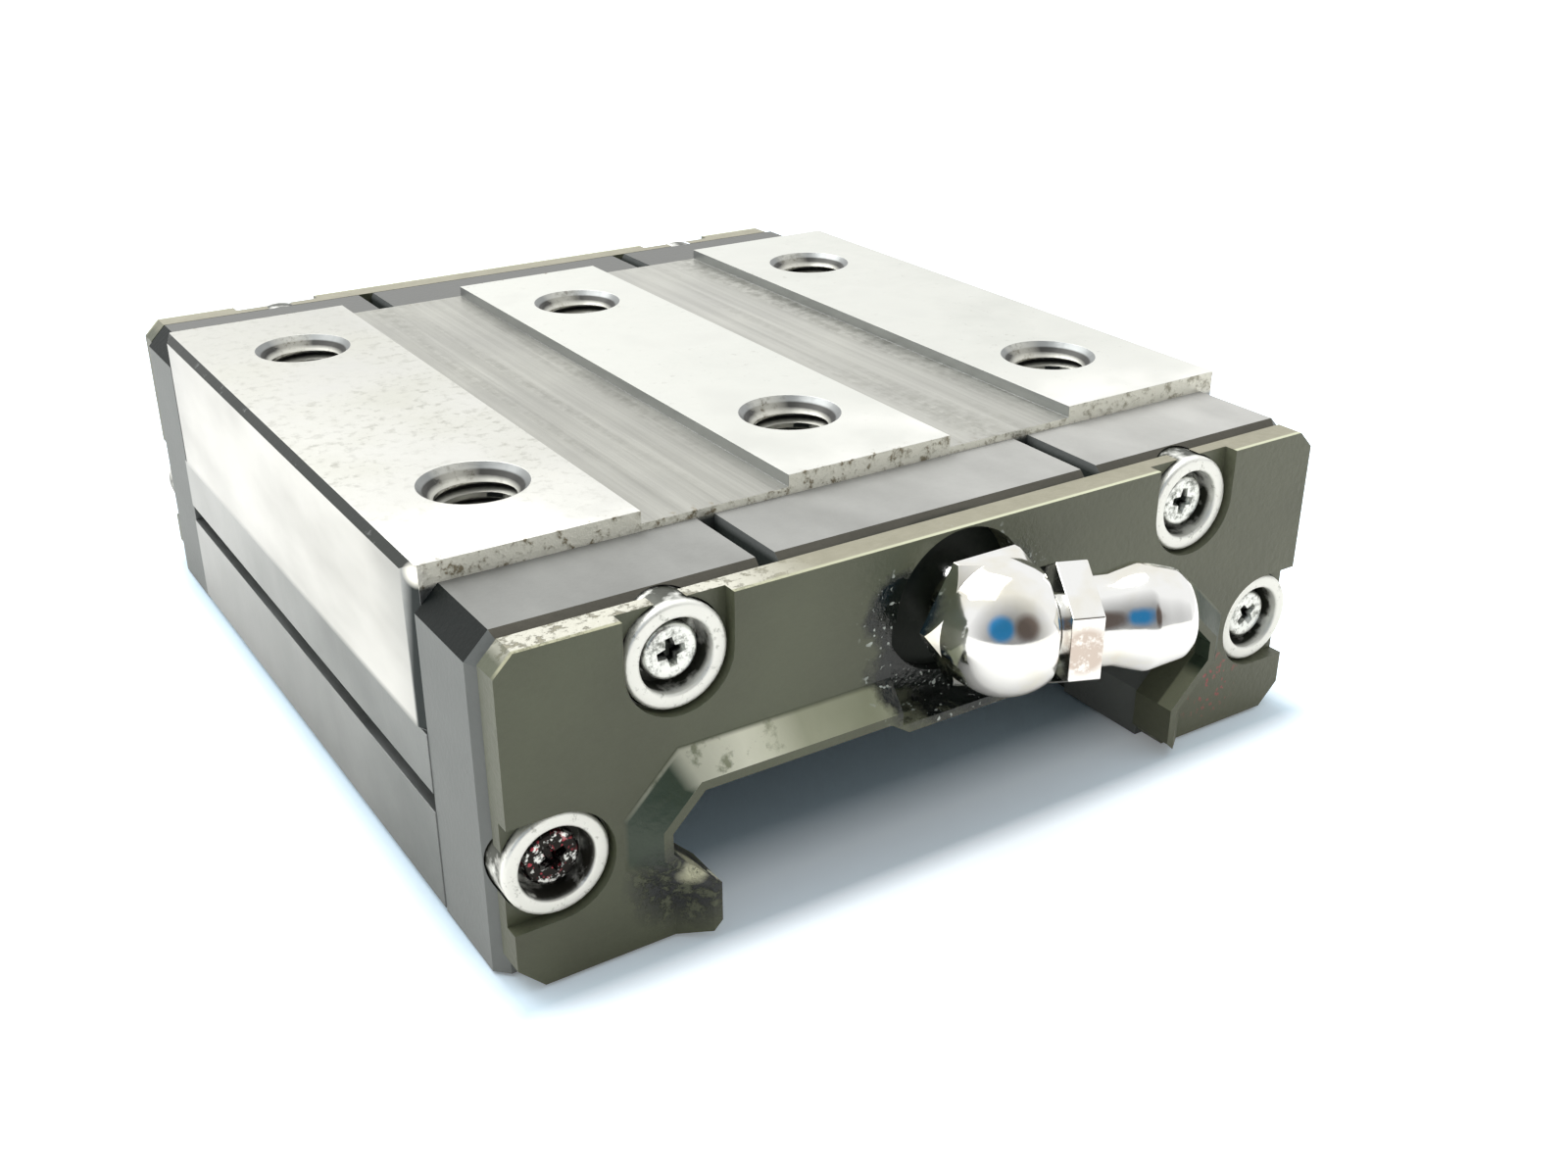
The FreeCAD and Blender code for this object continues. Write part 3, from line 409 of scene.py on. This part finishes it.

# End caps: one glass-filled plastic moulding at each end, held on by four screws. They turn the
# balls round and carry the grease. The moulding is satin, with two sprue slots, and its chamfers
# are painted dark as a dark reflection.
plastic, tree, surface = new_finish("moulded_cap_plastic")
place = put(tree, "TexCoord", output=3)
facing = put(tree, "NewGeometry", output=1)
across = along(tree, place, "X")
depth = along(tree, place, "Y")
height = along(tree, place, "Z")
rise = along(tree, facing, "Z")
side_turn = size_along(tree, facing, "X")
up = gate(tree, rise, 0.90, 0.985)
sloped = gate(tree, rise, 0.45, 0.6)
# Painted reflection: the corner chamfers are painted near black, as a dark reflection.
corner = both(tree, sloped, gate(tree, side_turn, 0.45, 0.6), gate(tree, height, -0.0035, -0.0030))
front_slope = both(tree, sloped, gate(tree, rise, 0.9, 0.8), gate(tree, side_turn, 0.3, 0.2))
mottle = grain(tree, place, 0.0045, stretch=(1, 0.6, 1), detail=5)
fine = grain(tree, place, 0.0004, detail=3)
side_tone = mixed(tree, mottle, (0.190, 0.205, 0.200), (0.240, 0.255, 0.250))
# Painted light: the tops are painted lighter than the sides, as sheen, and lighter from left to right, as
# light. The rear cap's top is darker.
painted_light_to_right = gate(tree, across, -0.028, 0.028)
top_low = mixed(tree, painted_light_to_right, (0.200, 0.203, 0.191), (0.405, 0.405, 0.384))
top_high = mixed(tree, painted_light_to_right, (0.270, 0.275, 0.260), (0.520, 0.520, 0.494))
top_tone = mixed(tree, gate(tree, mottle, 0.3, 0.7), top_low, top_high)
top_tone = mixed(tree, gate(tree, depth, 0.0, 0.01), top_tone, (0.155, 0.158, 0.150))
slope_tone = mixed(tree, mottle, (0.085, 0.082, 0.066), (0.150, 0.142, 0.115))
# Painted shade: the sprue slots are painted dark inside.
slot_floor = both(tree, gate(tree, height, -0.0016, -0.0020), gate(tree, height, -0.006, -0.005),
                  gate(tree, rise, -0.5, -0.1), gate(tree, size_along(tree, place, "X"), 0.014, 0.0133))
# Grease and painted shade: the cap face in the seal's hole round the port is near black.
port_grease_and_painted_shade = both(tree, gate(tree, depth, -0.0324, -0.0328),
                 around(tree, place, (0, -0.0330, -0.0065), 0.0052, 0.0056))
colour = side_tone
for where, tone in (
        (up, top_tone),
        (front_slope, slope_tone),
        (corner, (0.003, 0.006, 0.005)),
        (slot_floor, (0.055, 0.065, 0.060)),
        (port_grease_and_painted_shade, (0.010, 0.014, 0.010))):
    colour = mixed(tree, where, colour, tone)
tint(tree, surface, colour, 0.52)
surface.inputs["Specular IOR Level"].default_value = 0.22
dented(tree, surface, maths(tree, "ADD", fine, mottle), 0.00003)

for end_name in ("front", "rear"):
    cap = solid_copy(f"{end_name}_end_cap", f"{end_name}_moulded_cap")
    break_edges(cap, 0.00010)
    dress(cap, plastic)
    seat(cap, "cap_plastic", f"{end_name}_end_cap")

# End seals: olive moulded rubber, with pockets for four collars and a flared lip that wipes the
# rail. Grease blackens them round the nipple, with painted shade beside it, and dust sticks to the
# lip's feet.
rubber, tree, surface = new_finish("oily_olive_rubber")
place = put(tree, "TexCoord", output=3)
facing = put(tree, "NewGeometry", output=1)
across = along(tree, place, "X")
height = along(tree, place, "Z")
depth = along(tree, place, "Y")
reach = size_along(tree, place, "Y")
rise = along(tree, facing, "Z")
mottle = grain(tree, place, 0.010, detail=4)
fine = grain(tree, place, 0.0005, detail=3)
blotch = grain(tree, place, 0.0016, detail=5, roughness=0.65)
pitted = grain(tree, place, 0.0009, detail=5, roughness=0.7, shift=2.0)
drops = grain(tree, place, 0.00045, detail=1, shift=9.0)
flecks = grain(tree, place, 0.0004, detail=2, shift=13.0)

# Where the seal's faces, its flare and the dirt on them are.
in_front = gate(tree, depth, -0.0325, -0.0330)
past_face = gate(tree, reach, 0.03502, 0.0352)
top_face = both(tree, gate(tree, rise, 0.55, 0.9), gate(tree, height, -0.0022, -0.0018))
dusty = both(tree, gate(tree, across, -0.010, -0.016), gate(tree, pitted, 0.40, 0.48), in_front)
rim = both(tree, gate(tree, rise, 0.15, 0.35), gate(tree, reach, 0.03465, 0.03478),
           gate(tree, height, -0.0028, -0.0022))
flare = both(tree, past_face, gate(tree, rise, 0.2, 0.35))
# Painted shade: the flare's side-facing slopes are painted dark.
slanted_painted_shade = both(tree, past_face, gate(tree, size_along(tree, facing, "X"), 0.15, 0.3),
               gate(tree, height, -0.0172, -0.0165))
lip_end_painted_highlight = both(tree, gate(tree, across, -0.012, -0.016), gate(tree, blotch, 0.35, 0.45))
foot_dirt = both(tree, around(tree, place, (-0.0200, -0.0358, -0.0185), 0.0020, 0.0040),
                 gate(tree, pitted, 0.42, 0.52))
chip = both(tree, around(tree, place, (-0.0197, -0.0359, -0.0176), 0.0007, 0.0013),
            gate(tree, pitted, 0.35, 0.42))
# Grease round the nipple; the two patches to its left also paint the nipple's shade.
oil = either(tree, around(tree, place, (0.0004, -0.0352, -0.0085), 0.0036, 0.0080),
             around(tree, place, (-0.0040, -0.0352, -0.0100), 0.0014, 0.0040),
             around(tree, place, (-0.0046, -0.0352, -0.0060), 0.0014, 0.0036))
grease = both(tree, gate(tree, maths(tree, "ADD", oil, blotch), 0.82, 1.18), in_front)
# Painted glints: pale specks on the grease stand for light on droplets.
droplet_painted_glint = both(tree, gate(tree, drops, 0.66, 0.72), gate(tree, oil, 0.15, 0.5), in_front)
red_fleck = both(tree, gate(tree, flecks, 0.62, 0.68),
                 around(tree, place, (0.0232, -0.0350, -0.0190), 0.0010, 0.0034), in_front)

soft = gate(tree, mottle, 0.3, 0.7)
# Painted light and shade: the olive is darker on the left and lighter on the right.
painted_shade_left_olive = mixed(tree, soft, (0.078, 0.085, 0.052), (0.108, 0.122, 0.074))
painted_light_right_olive = mixed(tree, soft, (0.112, 0.120, 0.078), (0.146, 0.156, 0.104))
top_tone = mixed(tree, dusty, mixed(tree, blotch, (0.22, 0.21, 0.14), (0.36, 0.34, 0.25)),
                 (0.66, 0.65, 0.55))
# The rounded front top edge is pale, and painted lighter to the right, as light.
rim_tone = mixed(tree, gate(tree, across, -0.020, 0.0), (0.40, 0.40, 0.26), (0.58, 0.60, 0.42))
# Painted highlight: the flare's upward slope is painted pale, as light from above, and near white at the
# left end.
flare_tone = mixed(tree, gate(tree, mottle, 0.4, 0.6), (0.30, 0.32, 0.21), (0.42, 0.44, 0.31))
colour = mixed(tree, gate(tree, across, -0.022, 0.024), painted_shade_left_olive, painted_light_right_olive)
for where, tone in (
        (top_face, top_tone),
        (rim, rim_tone),
        (flare, mixed(tree, lip_end_painted_highlight, flare_tone, (0.97, 0.98, 0.80))),
        (slanted_painted_shade, (0.040, 0.062, 0.038)),
        (foot_dirt, (0.022, 0.026, 0.026)),
        (chip, (0.60, 0.60, 0.42)),
        (grease, (0.008, 0.012, 0.010)),
        (droplet_painted_glint, (0.55, 0.60, 0.56)),
        (red_fleck, (0.42, 0.10, 0.10))):
    colour = mixed(tree, where, colour, tone)
wet = put(tree, "MapRange", {"Value": grease, "To Min": 0.40, "To Max": 0.16})
tint(tree, surface, colour, wet)
crumbs = either(tree, both(tree, dusty, top_face), foot_dirt)
lumps = maths(tree, "ADD", maths(tree, "MULTIPLY", blotch, grease), maths(tree, "MULTIPLY", pitted, crumbs))
dented(tree, surface, maths(tree, "ADD", fine, maths(tree, "MULTIPLY", lumps, 3.0)), 0.00005)


def seal_edge(middle):
    """The front top edge is the most rounded, and the moulding's others are just broken."""
    return 1.0 if middle.z > -0.00152 and abs(middle.y) > 0.0349 else 0.28


for end_name in ("front", "rear"):
    seal = solid_copy(f"{end_name}_end_seal", f"{end_name}_wiping_seal")
    break_edges(seal, 0.00034, seal_edge)
    dress(seal, rubber)
    seat(seal, "seal_rubber", f"{end_name}_end_seal")

# Grease nipple: turned from hexagon bar and nickel plated. The elbow is screwed into the front cap,
# and the spout, with its own hexagon and head, is pressed into it.
nickel, tree, surface = new_finish("bright_nickel")
place = put(tree, "TexCoord", output=3)
haze = grain(tree, place, 0.0012, detail=4)
tarnish = grain(tree, place, 0.004, detail=3, shift=5.0)
scale = grain(tree, place, 0.0007, detail=5, roughness=0.7)
colour = mixed(tree, gate(tree, tarnish, 0.5, 0.75), (0.95, 0.95, 0.93), (0.86, 0.82, 0.68))
on_flat = both(tree, around(tree, place, (0.0021, -0.0437, -0.0066), 0.0012, 0.0019),
               gate(tree, scale, 0.30, 0.50))
colour = mixed(tree, on_flat, colour, (0.56, 0.48, 0.42))
polish = put(tree, "MapRange", {
    "Value": haze, "From Min": 0.3, "From Max": 0.7, "To Min": 0.06, "To Max": 0.15})
tint(tree, surface, colour, polish)
surface.inputs["Metallic"].default_value = 1.0
dented(tree, surface, haze, 0.000006)

for node, name in (("grease_nipple_elbow", "nipple_elbow"), ("grease_nipple_spout", "nipple_spout")):
    turned = solid_copy(node, name)
    break_edges(turned, 0.00010)
    dress(turned, nickel)
    seat(turned, "nipple_plating", node)

# Collars: small turned steel cups, bright zinc plated. Each sinks one screw head and sets how far
# the seal can be squeezed. One lathe profile makes them all, each turned by a chance amount.
COLLAR_LENGTH = 0.0027
# How far along the rail from the middle the collars' rims and the floors inside them stand.
COLLAR_RIM = 0.0346
COLLAR_FLOOR = 0.03265
screw_places = ((-0.0195, -0.0047), (0.0195, -0.0047), (-0.0274, -0.0153), (0.0274, -0.0153))
dirtiest_collar = (-0.0274, -0.0340, -0.0153)
zinc, tree, surface = new_finish("scuffed_bright_zinc")
place = put(tree, "TexCoord", output=3)
reach = size_along(tree, place, "Y")
scuff = grain(tree, place, 0.0006, detail=5, roughness=0.7)
patch = grain(tree, place, 0.0014, detail=4, shift=4.0)
colour = mixed(tree, gate(tree, scuff, 0.58, 0.70), (0.97, 0.98, 0.92), (0.50, 0.51, 0.46))
# Painted shade: the inside of each cup is painted dark in patches.
cup = both(tree, gate(tree, reach, 0.0343, 0.0339), gate(tree, patch, 0.36, 0.52))
colour = mixed(tree, cup, colour, (0.060, 0.064, 0.050))
filled = both(tree, around(tree, place, dirtiest_collar, 0.0023, 0.0025), gate(tree, patch, 0.30, 0.40))
colour = mixed(tree, filled, colour, (0.040, 0.038, 0.030))
tint(tree, surface, colour, 0.36)
surface.inputs["Metallic"].default_value = 0.40
dented(tree, surface, scuff, 0.00003)


def turned_blank(name, profile, steps=40):
    """A lathe-turned solid about Y from (radius, forward) points. Points on the axis close it."""
    rings = []
    points = []
    for radius, forward in profile:
        if radius == 0:
            rings.append([len(points)] * steps)
            points.append((0, forward, 0))
            continue
        rings.append(list(range(len(points), len(points) + steps)))
        for step in range(steps):
            angle = 2 * math.pi * step / steps
            points.append((radius * math.cos(angle), forward, radius * math.sin(angle)))
    faces = []
    loops = list(zip(rings, rings[1:]))
    if profile[0][0] > 0:
        loops.append((rings[-1], rings[0]))
    for first, second in loops:
        for step in range(steps):
            after = (step + 1) % steps
            corners = [first[step], first[after], second[after], second[step]]
            faces.append(list(dict.fromkeys(corners)))
    mesh = bpy.data.meshes.new(name)
    mesh.from_pydata(points, [], faces)
    work = bmesh.new()
    work.from_mesh(mesh)
    bmesh.ops.recalc_face_normals(work, faces=work.faces)
    work.to_mesh(mesh)
    work.free()
    return linked(name, mesh)


def arc(centre, radius, start, stop, steps=4):
    """Points of a rounded corner in a lathe profile, from one angle to another in degrees."""
    angles = [math.radians(start + (stop - start) * step / steps) for step in range(steps + 1)]
    return [(centre[0] + radius * math.cos(a), centre[1] + radius * math.sin(a)) for a in angles]


# Copies of a blank on points, each turned about its own axis by chance within a limit.
fit_tree, given = node_group("fitted_blanks", Blank="Object", Limit="Float", Seed="Int",
                             Flip="Float", Material="Material")
blank = put(fit_tree, "GeometryNodeObjectInfo", {"Object": given["Blank"]}, output=4)
least = put(fit_tree, "Math", {0: given["Limit"], 1: -1.0}, operation="MULTIPLY")
chance = put(fit_tree, "FunctionNodeRandomValue", {
    2: least, 3: given["Limit"], "Seed": given["Seed"]}, output=1, data_type="FLOAT")
spin = put(fit_tree, "CombineXYZ", {"Y": chance, "Z": given["Flip"]})
turn = put(fit_tree, "FunctionNodeEulerToRotation", {"Euler": spin})
fitted = put(fit_tree, "GeometryNodeInstanceOnPoints", {
    "Points": given["Geometry"], "Instance": blank, "Rotation": turn})
hand_out(fit_tree, fitted, given["Material"])

cup_profile = [(0.00105, 0.0), (0.00325, 0.0)]
cup_profile += arc((0.00300, 0.00245), 0.00025, 0, 90) + arc((0.00248, 0.00252), 0.00018, 90, 180)
cup_profile += [(0.0023, 0.00075), (0.00105, 0.00075)]
collar_blank = break_edges(turned_blank("collar_blank", cup_profile), 0.00004)
for end_name, sign in (("front", -1), ("rear", 1)):
    places = [(x, sign * (COLLAR_RIM - COLLAR_LENGTH), z) for x, z in screw_places]
    cups = grow(f"{end_name}_collar_set", places, fit_tree, Blank=collar_blank, Limit=3.1, Seed=4,
                Flip=0.0 if sign > 0 else math.pi, Material=zinc)
    seat(cups, "zinc_collar", f"{end_name}_seal_collars")
bpy.data.objects.remove(collar_blank)

# Screws: zinc plated pan heads with a cross recess, through collar, seal and cap into the block. The
# recess is cut by a tapered cross, and drivers have left each head at its own angle.
plated, tree, surface = new_finish("plated_screw_steel")
place = put(tree, "TexCoord", output=3)
reach = size_along(tree, place, "Y")
scuff = grain(tree, place, 0.0006, detail=5, roughness=0.7)
colour = mixed(tree, gate(tree, scuff, 0.48, 0.66), (0.86, 0.88, 0.84), (0.20, 0.21, 0.19))
# Painted shade: the floor of the cross recess and the head and shank below it are painted near black.
colour = mixed(tree, gate(tree, reach, 0.0337, 0.0335), colour, (0.030, 0.034, 0.030))
caked = both(tree, around(tree, place, dirtiest_collar, 0.0019, 0.0023), gate(tree, scuff, 0.40, 0.48))
colour = mixed(tree, caked, colour, (0.018, 0.016, 0.014))
red = both(tree, around(tree, place, (-0.0276, -0.0340, -0.0150), 0.0010, 0.0019),
           gate(tree, grain(tree, place, 0.0005, detail=2, shift=6.0), 0.60, 0.66))
colour = mixed(tree, red, colour, (0.45, 0.06, 0.08))
tint(tree, surface, colour, 0.28)
surface.inputs["Metallic"].default_value = 0.85
dented(tree, surface, scuff, 0.00003)

BLOCK_END = 0.0255
SHANK_IN_BLOCK = 0.005
SHANK_RADIUS = 0.0010
SEAT_TO_TIP = COLLAR_FLOOR - BLOCK_END + SHANK_IN_BLOCK
head_profile = [(0.0, 0.0013), (0.0012, 0.00128)] + arc((0.00142, 0.00097), 0.00033, 80, 0, 5)
head_profile += [(0.00175, 0.0), (SHANK_RADIUS, 0.0), (SHANK_RADIUS, 0.0003 - SEAT_TO_TIP),
                 (0.0007, -SEAT_TO_TIP), (0.0, -SEAT_TO_TIP)]
screw_blank = turned_blank("screw_blank", head_profile, 32)
work = bmesh.new()
arm = [(0.00098, 0.00024), (0.00034, 0.00034), (0.00024, 0.00098)]
corners = [(x * c - y * s, x * s + y * c)
           for c, s in ((1, 0), (0, 1), (-1, 0), (0, -1)) for x, y in arm]
for level, scale in ((0.0016, 1.08), (0.0006, 0.55)):
    for x, y in corners:
        work.verts.new((x * scale, level, y * scale))
work.verts.ensure_lookup_table()
count = len(corners)
work.faces.new(work.verts[:count])
work.faces.new(work.verts[count:])
for step in range(count):
    after = (step + 1) % count
    work.faces.new([work.verts[i] for i in (step, after, count + after, count + step)])
bmesh.ops.recalc_face_normals(work, faces=work.faces)
bit_mesh = bpy.data.meshes.new("driver_bit")
work.to_mesh(bit_mesh)
work.free()
screw_blank = break_edges(carve(screw_blank, linked("driver_bit", bit_mesh)), 0.00003)
for end_name, sign in (("front", -1), ("rear", 1)):
    places = [(x, sign * COLLAR_FLOOR, z) for x, z in screw_places]
    heads = grow(f"{end_name}_screw_set", places, fit_tree, Blank=screw_blank, Limit=0.7, Seed=11,
                 Flip=0.0 if sign > 0 else math.pi, Material=plated)
    seat(heads, "screw_steel", f"{end_name}_seal_screws")
bpy.data.objects.remove(screw_blank)

# Balls: polished bearing steel, a full complement in each of four closed circuits. Each circuit is a
# race-track path through the load row, a turn, the return tube and the other turn.
bearing, tree, surface = new_finish("polished_bearing_steel")
place = put(tree, "TexCoord", output=3)
film = grain(tree, place, 0.003, detail=3)
tint(tree, surface, mixed(tree, film, (0.62, 0.63, 0.63), (0.82, 0.82, 0.80)), 0.12)
surface.inputs["Metallic"].default_value = 1.0
dented(tree, surface, film, 0.000004)

ball_tree, given = node_group("balls_on_path", Count="Int", Radius="Float", Material="Material")
path = put(ball_tree, "GeometryNodeMeshToCurve", {"Mesh": given["Geometry"]})
path = put(ball_tree, "GeometryNodeResampleCurve", {"Curve": path, "Count": given["Count"]})
ball = put(ball_tree, "GeometryNodeMeshUVSphere", {"Segments": 24, "Rings": 14, "Radius": given["Radius"]})
ball = put(ball_tree, "GeometryNodeSetShadeSmooth", {"Geometry": ball})
balls = put(ball_tree, "GeometryNodeInstanceOnPoints", {"Points": path, "Instance": ball})
hand_out(ball_tree, balls, given["Material"])
TURN_RADIUS = 0.0033
HALF_LENGTH = 0.0255
BALLS = 30
turn_angles = [math.pi * i / 24 for i in range(1, 24)]
# For each row: where its load race lies across and in height, and its tilt in degrees.
for row, across, height, tilt in (("upper", 0.02075, -0.01255, 15), ("lower", 0.0205, -0.0185, -8)):
    for side, sign in (("right", 1), ("left", -1)):
        way = [(-HALF_LENGTH, 0), (HALF_LENGTH, 0)]
        way += [(HALF_LENGTH + TURN_RADIUS * math.sin(a), TURN_RADIUS * (1 - math.cos(a)))
                for a in turn_angles]
        way += [(HALF_LENGTH, 2 * TURN_RADIUS), (-HALF_LENGTH, 2 * TURN_RADIUS)]
        way += [(-HALF_LENGTH - TURN_RADIUS * math.sin(a), TURN_RADIUS * (1 + math.cos(a)))
                for a in turn_angles]
        lean = math.radians(tilt)
        points = [(sign * (across + off * math.cos(lean)), forward, height + off * math.sin(lean))
                  for forward, off in way]
        loop = [(i, (i + 1) % len(points)) for i in range(len(points))]
        circuit = grow(f"{side}_{row}_ball_circuit", points, ball_tree, loop,
                       Count=BALLS, Radius=0.001975, Material=bearing)
        seat(circuit, "ball_steel", f"{side}_{row}_balls")

# Hidden pieces: moulded retainer strips, turn guides and return tubes that lead the balls, the
# valve ball with its wire spring, and the black set screw in the rear port.
nylon, tree, surface = new_finish("dark_moulded_guides")
place = put(tree, "TexCoord", output=3)
tone = grain(tree, place, 0.002, detail=4)
tint(tree, surface, mixed(tree, tone, (0.035, 0.040, 0.036), (0.075, 0.082, 0.072)), 0.45)
dented(tree, surface, tone, 0.00003)
oxide, tree, surface = new_finish("black_oxide_and_wire")
place = put(tree, "TexCoord", output=3)
tone = grain(tree, place, 0.0008, detail=4)
tint(tree, surface, mixed(tree, tone, (0.03, 0.03, 0.032), (0.10, 0.10, 0.10)), 0.4)
surface.inputs["Metallic"].default_value = 0.8
dented(tree, surface, tone, 0.00001)
for node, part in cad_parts.items():
    if node == "nipple_valve_ball":
        dress(part, bearing)
    elif node.endswith(("retainer", "turn_guide", "return_tube")):
        dress(part, nylon)
    elif node == "rear_port_plug":
        dress(part, oxide)

spring = solid_copy("nipple_spring", "valve_spring")
spring.data.polygons.foreach_set("use_smooth", [True] * len(spring.data.polygons))
dress(spring, oxide)
seat(spring, "spring_steel", "nipple_spring")
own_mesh(spring)

# Studio: white floor and surround, a soft sky that is dimmer towards the front, and one broad lamp
# above and behind. The floor's soft bluish contact shadow is painted deeper by its glow, which fades
# near the block, and the floor runs out to white.
floor_finish, tree, surface = new_finish("white_floor")
tree.nodes.remove(surface)
rays = put(tree, "LightPath").node
place = put(tree, "TexCoord", output=3)
direct = rays.outputs["Is Camera Ray"]
seen = maths(tree, "ADD", direct, maths(tree, "MULTIPLY", rays.outputs["Is Glossy Ray"], 0.30))
# Painted shadow: the paper is bluish only to the camera, which tints the shadow blue.
paper = put(tree, "BsdfDiffuse", {"Color": mixed(tree, direct, (0.84, 0.84, 0.82), (0.66, 0.83, 0.96))})


def past(half_x, half_y):
    """How far a point of the floor lies outside an upright box about the origin."""
    over = [maths(tree, "MAXIMUM", maths(tree, "SUBTRACT", size_along(tree, place, letter), half), 0.0)
            for letter, half in (("X", half_x), ("Y", half_y))]
    return flat_length(tree, *over)


# Painted shadow: the glow is nil near the block and rises outwards, so the floor is painted darker close to
# it.
glow_with_painted_shadow = maths(tree, "MULTIPLY", gate(tree, past(0.0300, 0.0280), 0.0, 0.0050), 0.17)
for start, stop, share in ((0.0, 0.0022, 0.50), (0.0022, 0.0070, 0.35)):
    ring = maths(tree, "MULTIPLY", gate(tree, past(0.0305, 0.0362), start, stop), share)
    glow_with_painted_shadow = maths(tree, "ADD", glow_with_painted_shadow, ring)
glow_with_painted_shadow = maths(tree, "MULTIPLY", seen, glow_with_painted_shadow)
glow = put(tree, "Emission", {"Color": (1.0, 1.0, 1.0, 1), "Strength": glow_with_painted_shadow})
whole = put(tree, "AddShader", {0: paper, 1: glow})
tree.links.new(whole, tree.nodes["Material Output"].inputs["Surface"])
floor_mesh = bpy.data.meshes.new("floor")
low = cad_box[0][2]
floor_mesh.from_pydata([(-3, -3, low), (3, -3, low), (3, 3, low), (-3, 3, low)], [], [(0, 1, 2, 3)])
floor = linked("floor", floor_mesh)
dress(floor, floor_finish)

# Surround: even white where the camera sees it, dimmer light from the front, and a blue and a dark
# patch that only mirror-like surfaces see, like things beside the camera.
world = bpy.data.worlds.new("studio")
bpy.context.scene.world = world
world.use_nodes = True
tree = world.node_tree
rays = put(tree, "LightPath").node
direction = put(tree, "TexCoord", output=0)


def facing_share(spot):
    """How nearly a ray points to a spot of the surround: 1 straight at it."""
    return put(tree, "VectorMath", {0: direction, 1: spot}, output=1, operation="DOT_PRODUCT")


direct = rays.outputs["Is Camera Ray"]
glossy = rays.outputs["Is Glossy Ray"]
front = gate(tree, facing_share((-0.45, -0.88, 0.15)), 0.25, 0.85)
light = put(tree, "MapRange", {"Value": front, "To Min": 0.95, "To Max": 0.30})
strength = maths(tree, "ADD", maths(tree, "MULTIPLY", light, maths(tree, "SUBTRACT", 1.0, direct)), direct)
blue_thing = both(tree, glossy, gate(tree, facing_share((-0.656, -0.634, 0.404)), 0.900, 0.960))
dark_thing = both(tree, glossy, gate(tree, facing_share((0.010, -0.926, 0.380)), 0.90, 0.97))
backdrop = mixed(tree, blue_thing, (1, 1, 1), (0.08, 0.60, 1.30))
backdrop = mixed(tree, dark_thing, backdrop, (0.36, 0.29, 0.26))
sky = tree.nodes["Background"]
tree.links.new(backdrop, sky.inputs["Color"])
tree.links.new(strength, sky.inputs["Strength"])


def lamp(name, spot, target, size, power):
    """Square soft box at a spot, turned to face a target."""
    data = bpy.data.lights.new(name, "AREA")
    data.size = size
    data.energy = power
    obj = bpy.data.objects.new(name, data)
    obj.location = spot
    obj.rotation_euler = (Vector(target) - Vector(spot)).to_track_quat("-Z", "Y").to_euler()
    bpy.context.scene.collection.objects.link(obj)


lamp("overhead_softbox", (-0.08, 0.22, 0.42), (0, 0, -0.01), 0.45, 2.2)

# Camera: from the left of the front and above, close enough for strong perspective.
camera_data = bpy.data.cameras.new("camera")
camera_data.lens = 37.5
camera_data.sensor_width = 36
camera_data.clip_start = 0.005
camera = bpy.data.objects.new("camera", camera_data)
camera.location = (-0.0574, -0.1035, 0.0375)
camera.rotation_euler = (math.radians(64.13), 0, math.radians(-33.05))
bpy.context.scene.collection.objects.link(camera)
bpy.context.scene.camera = camera
bpy.context.scene.view_settings.view_transform = "Standard"
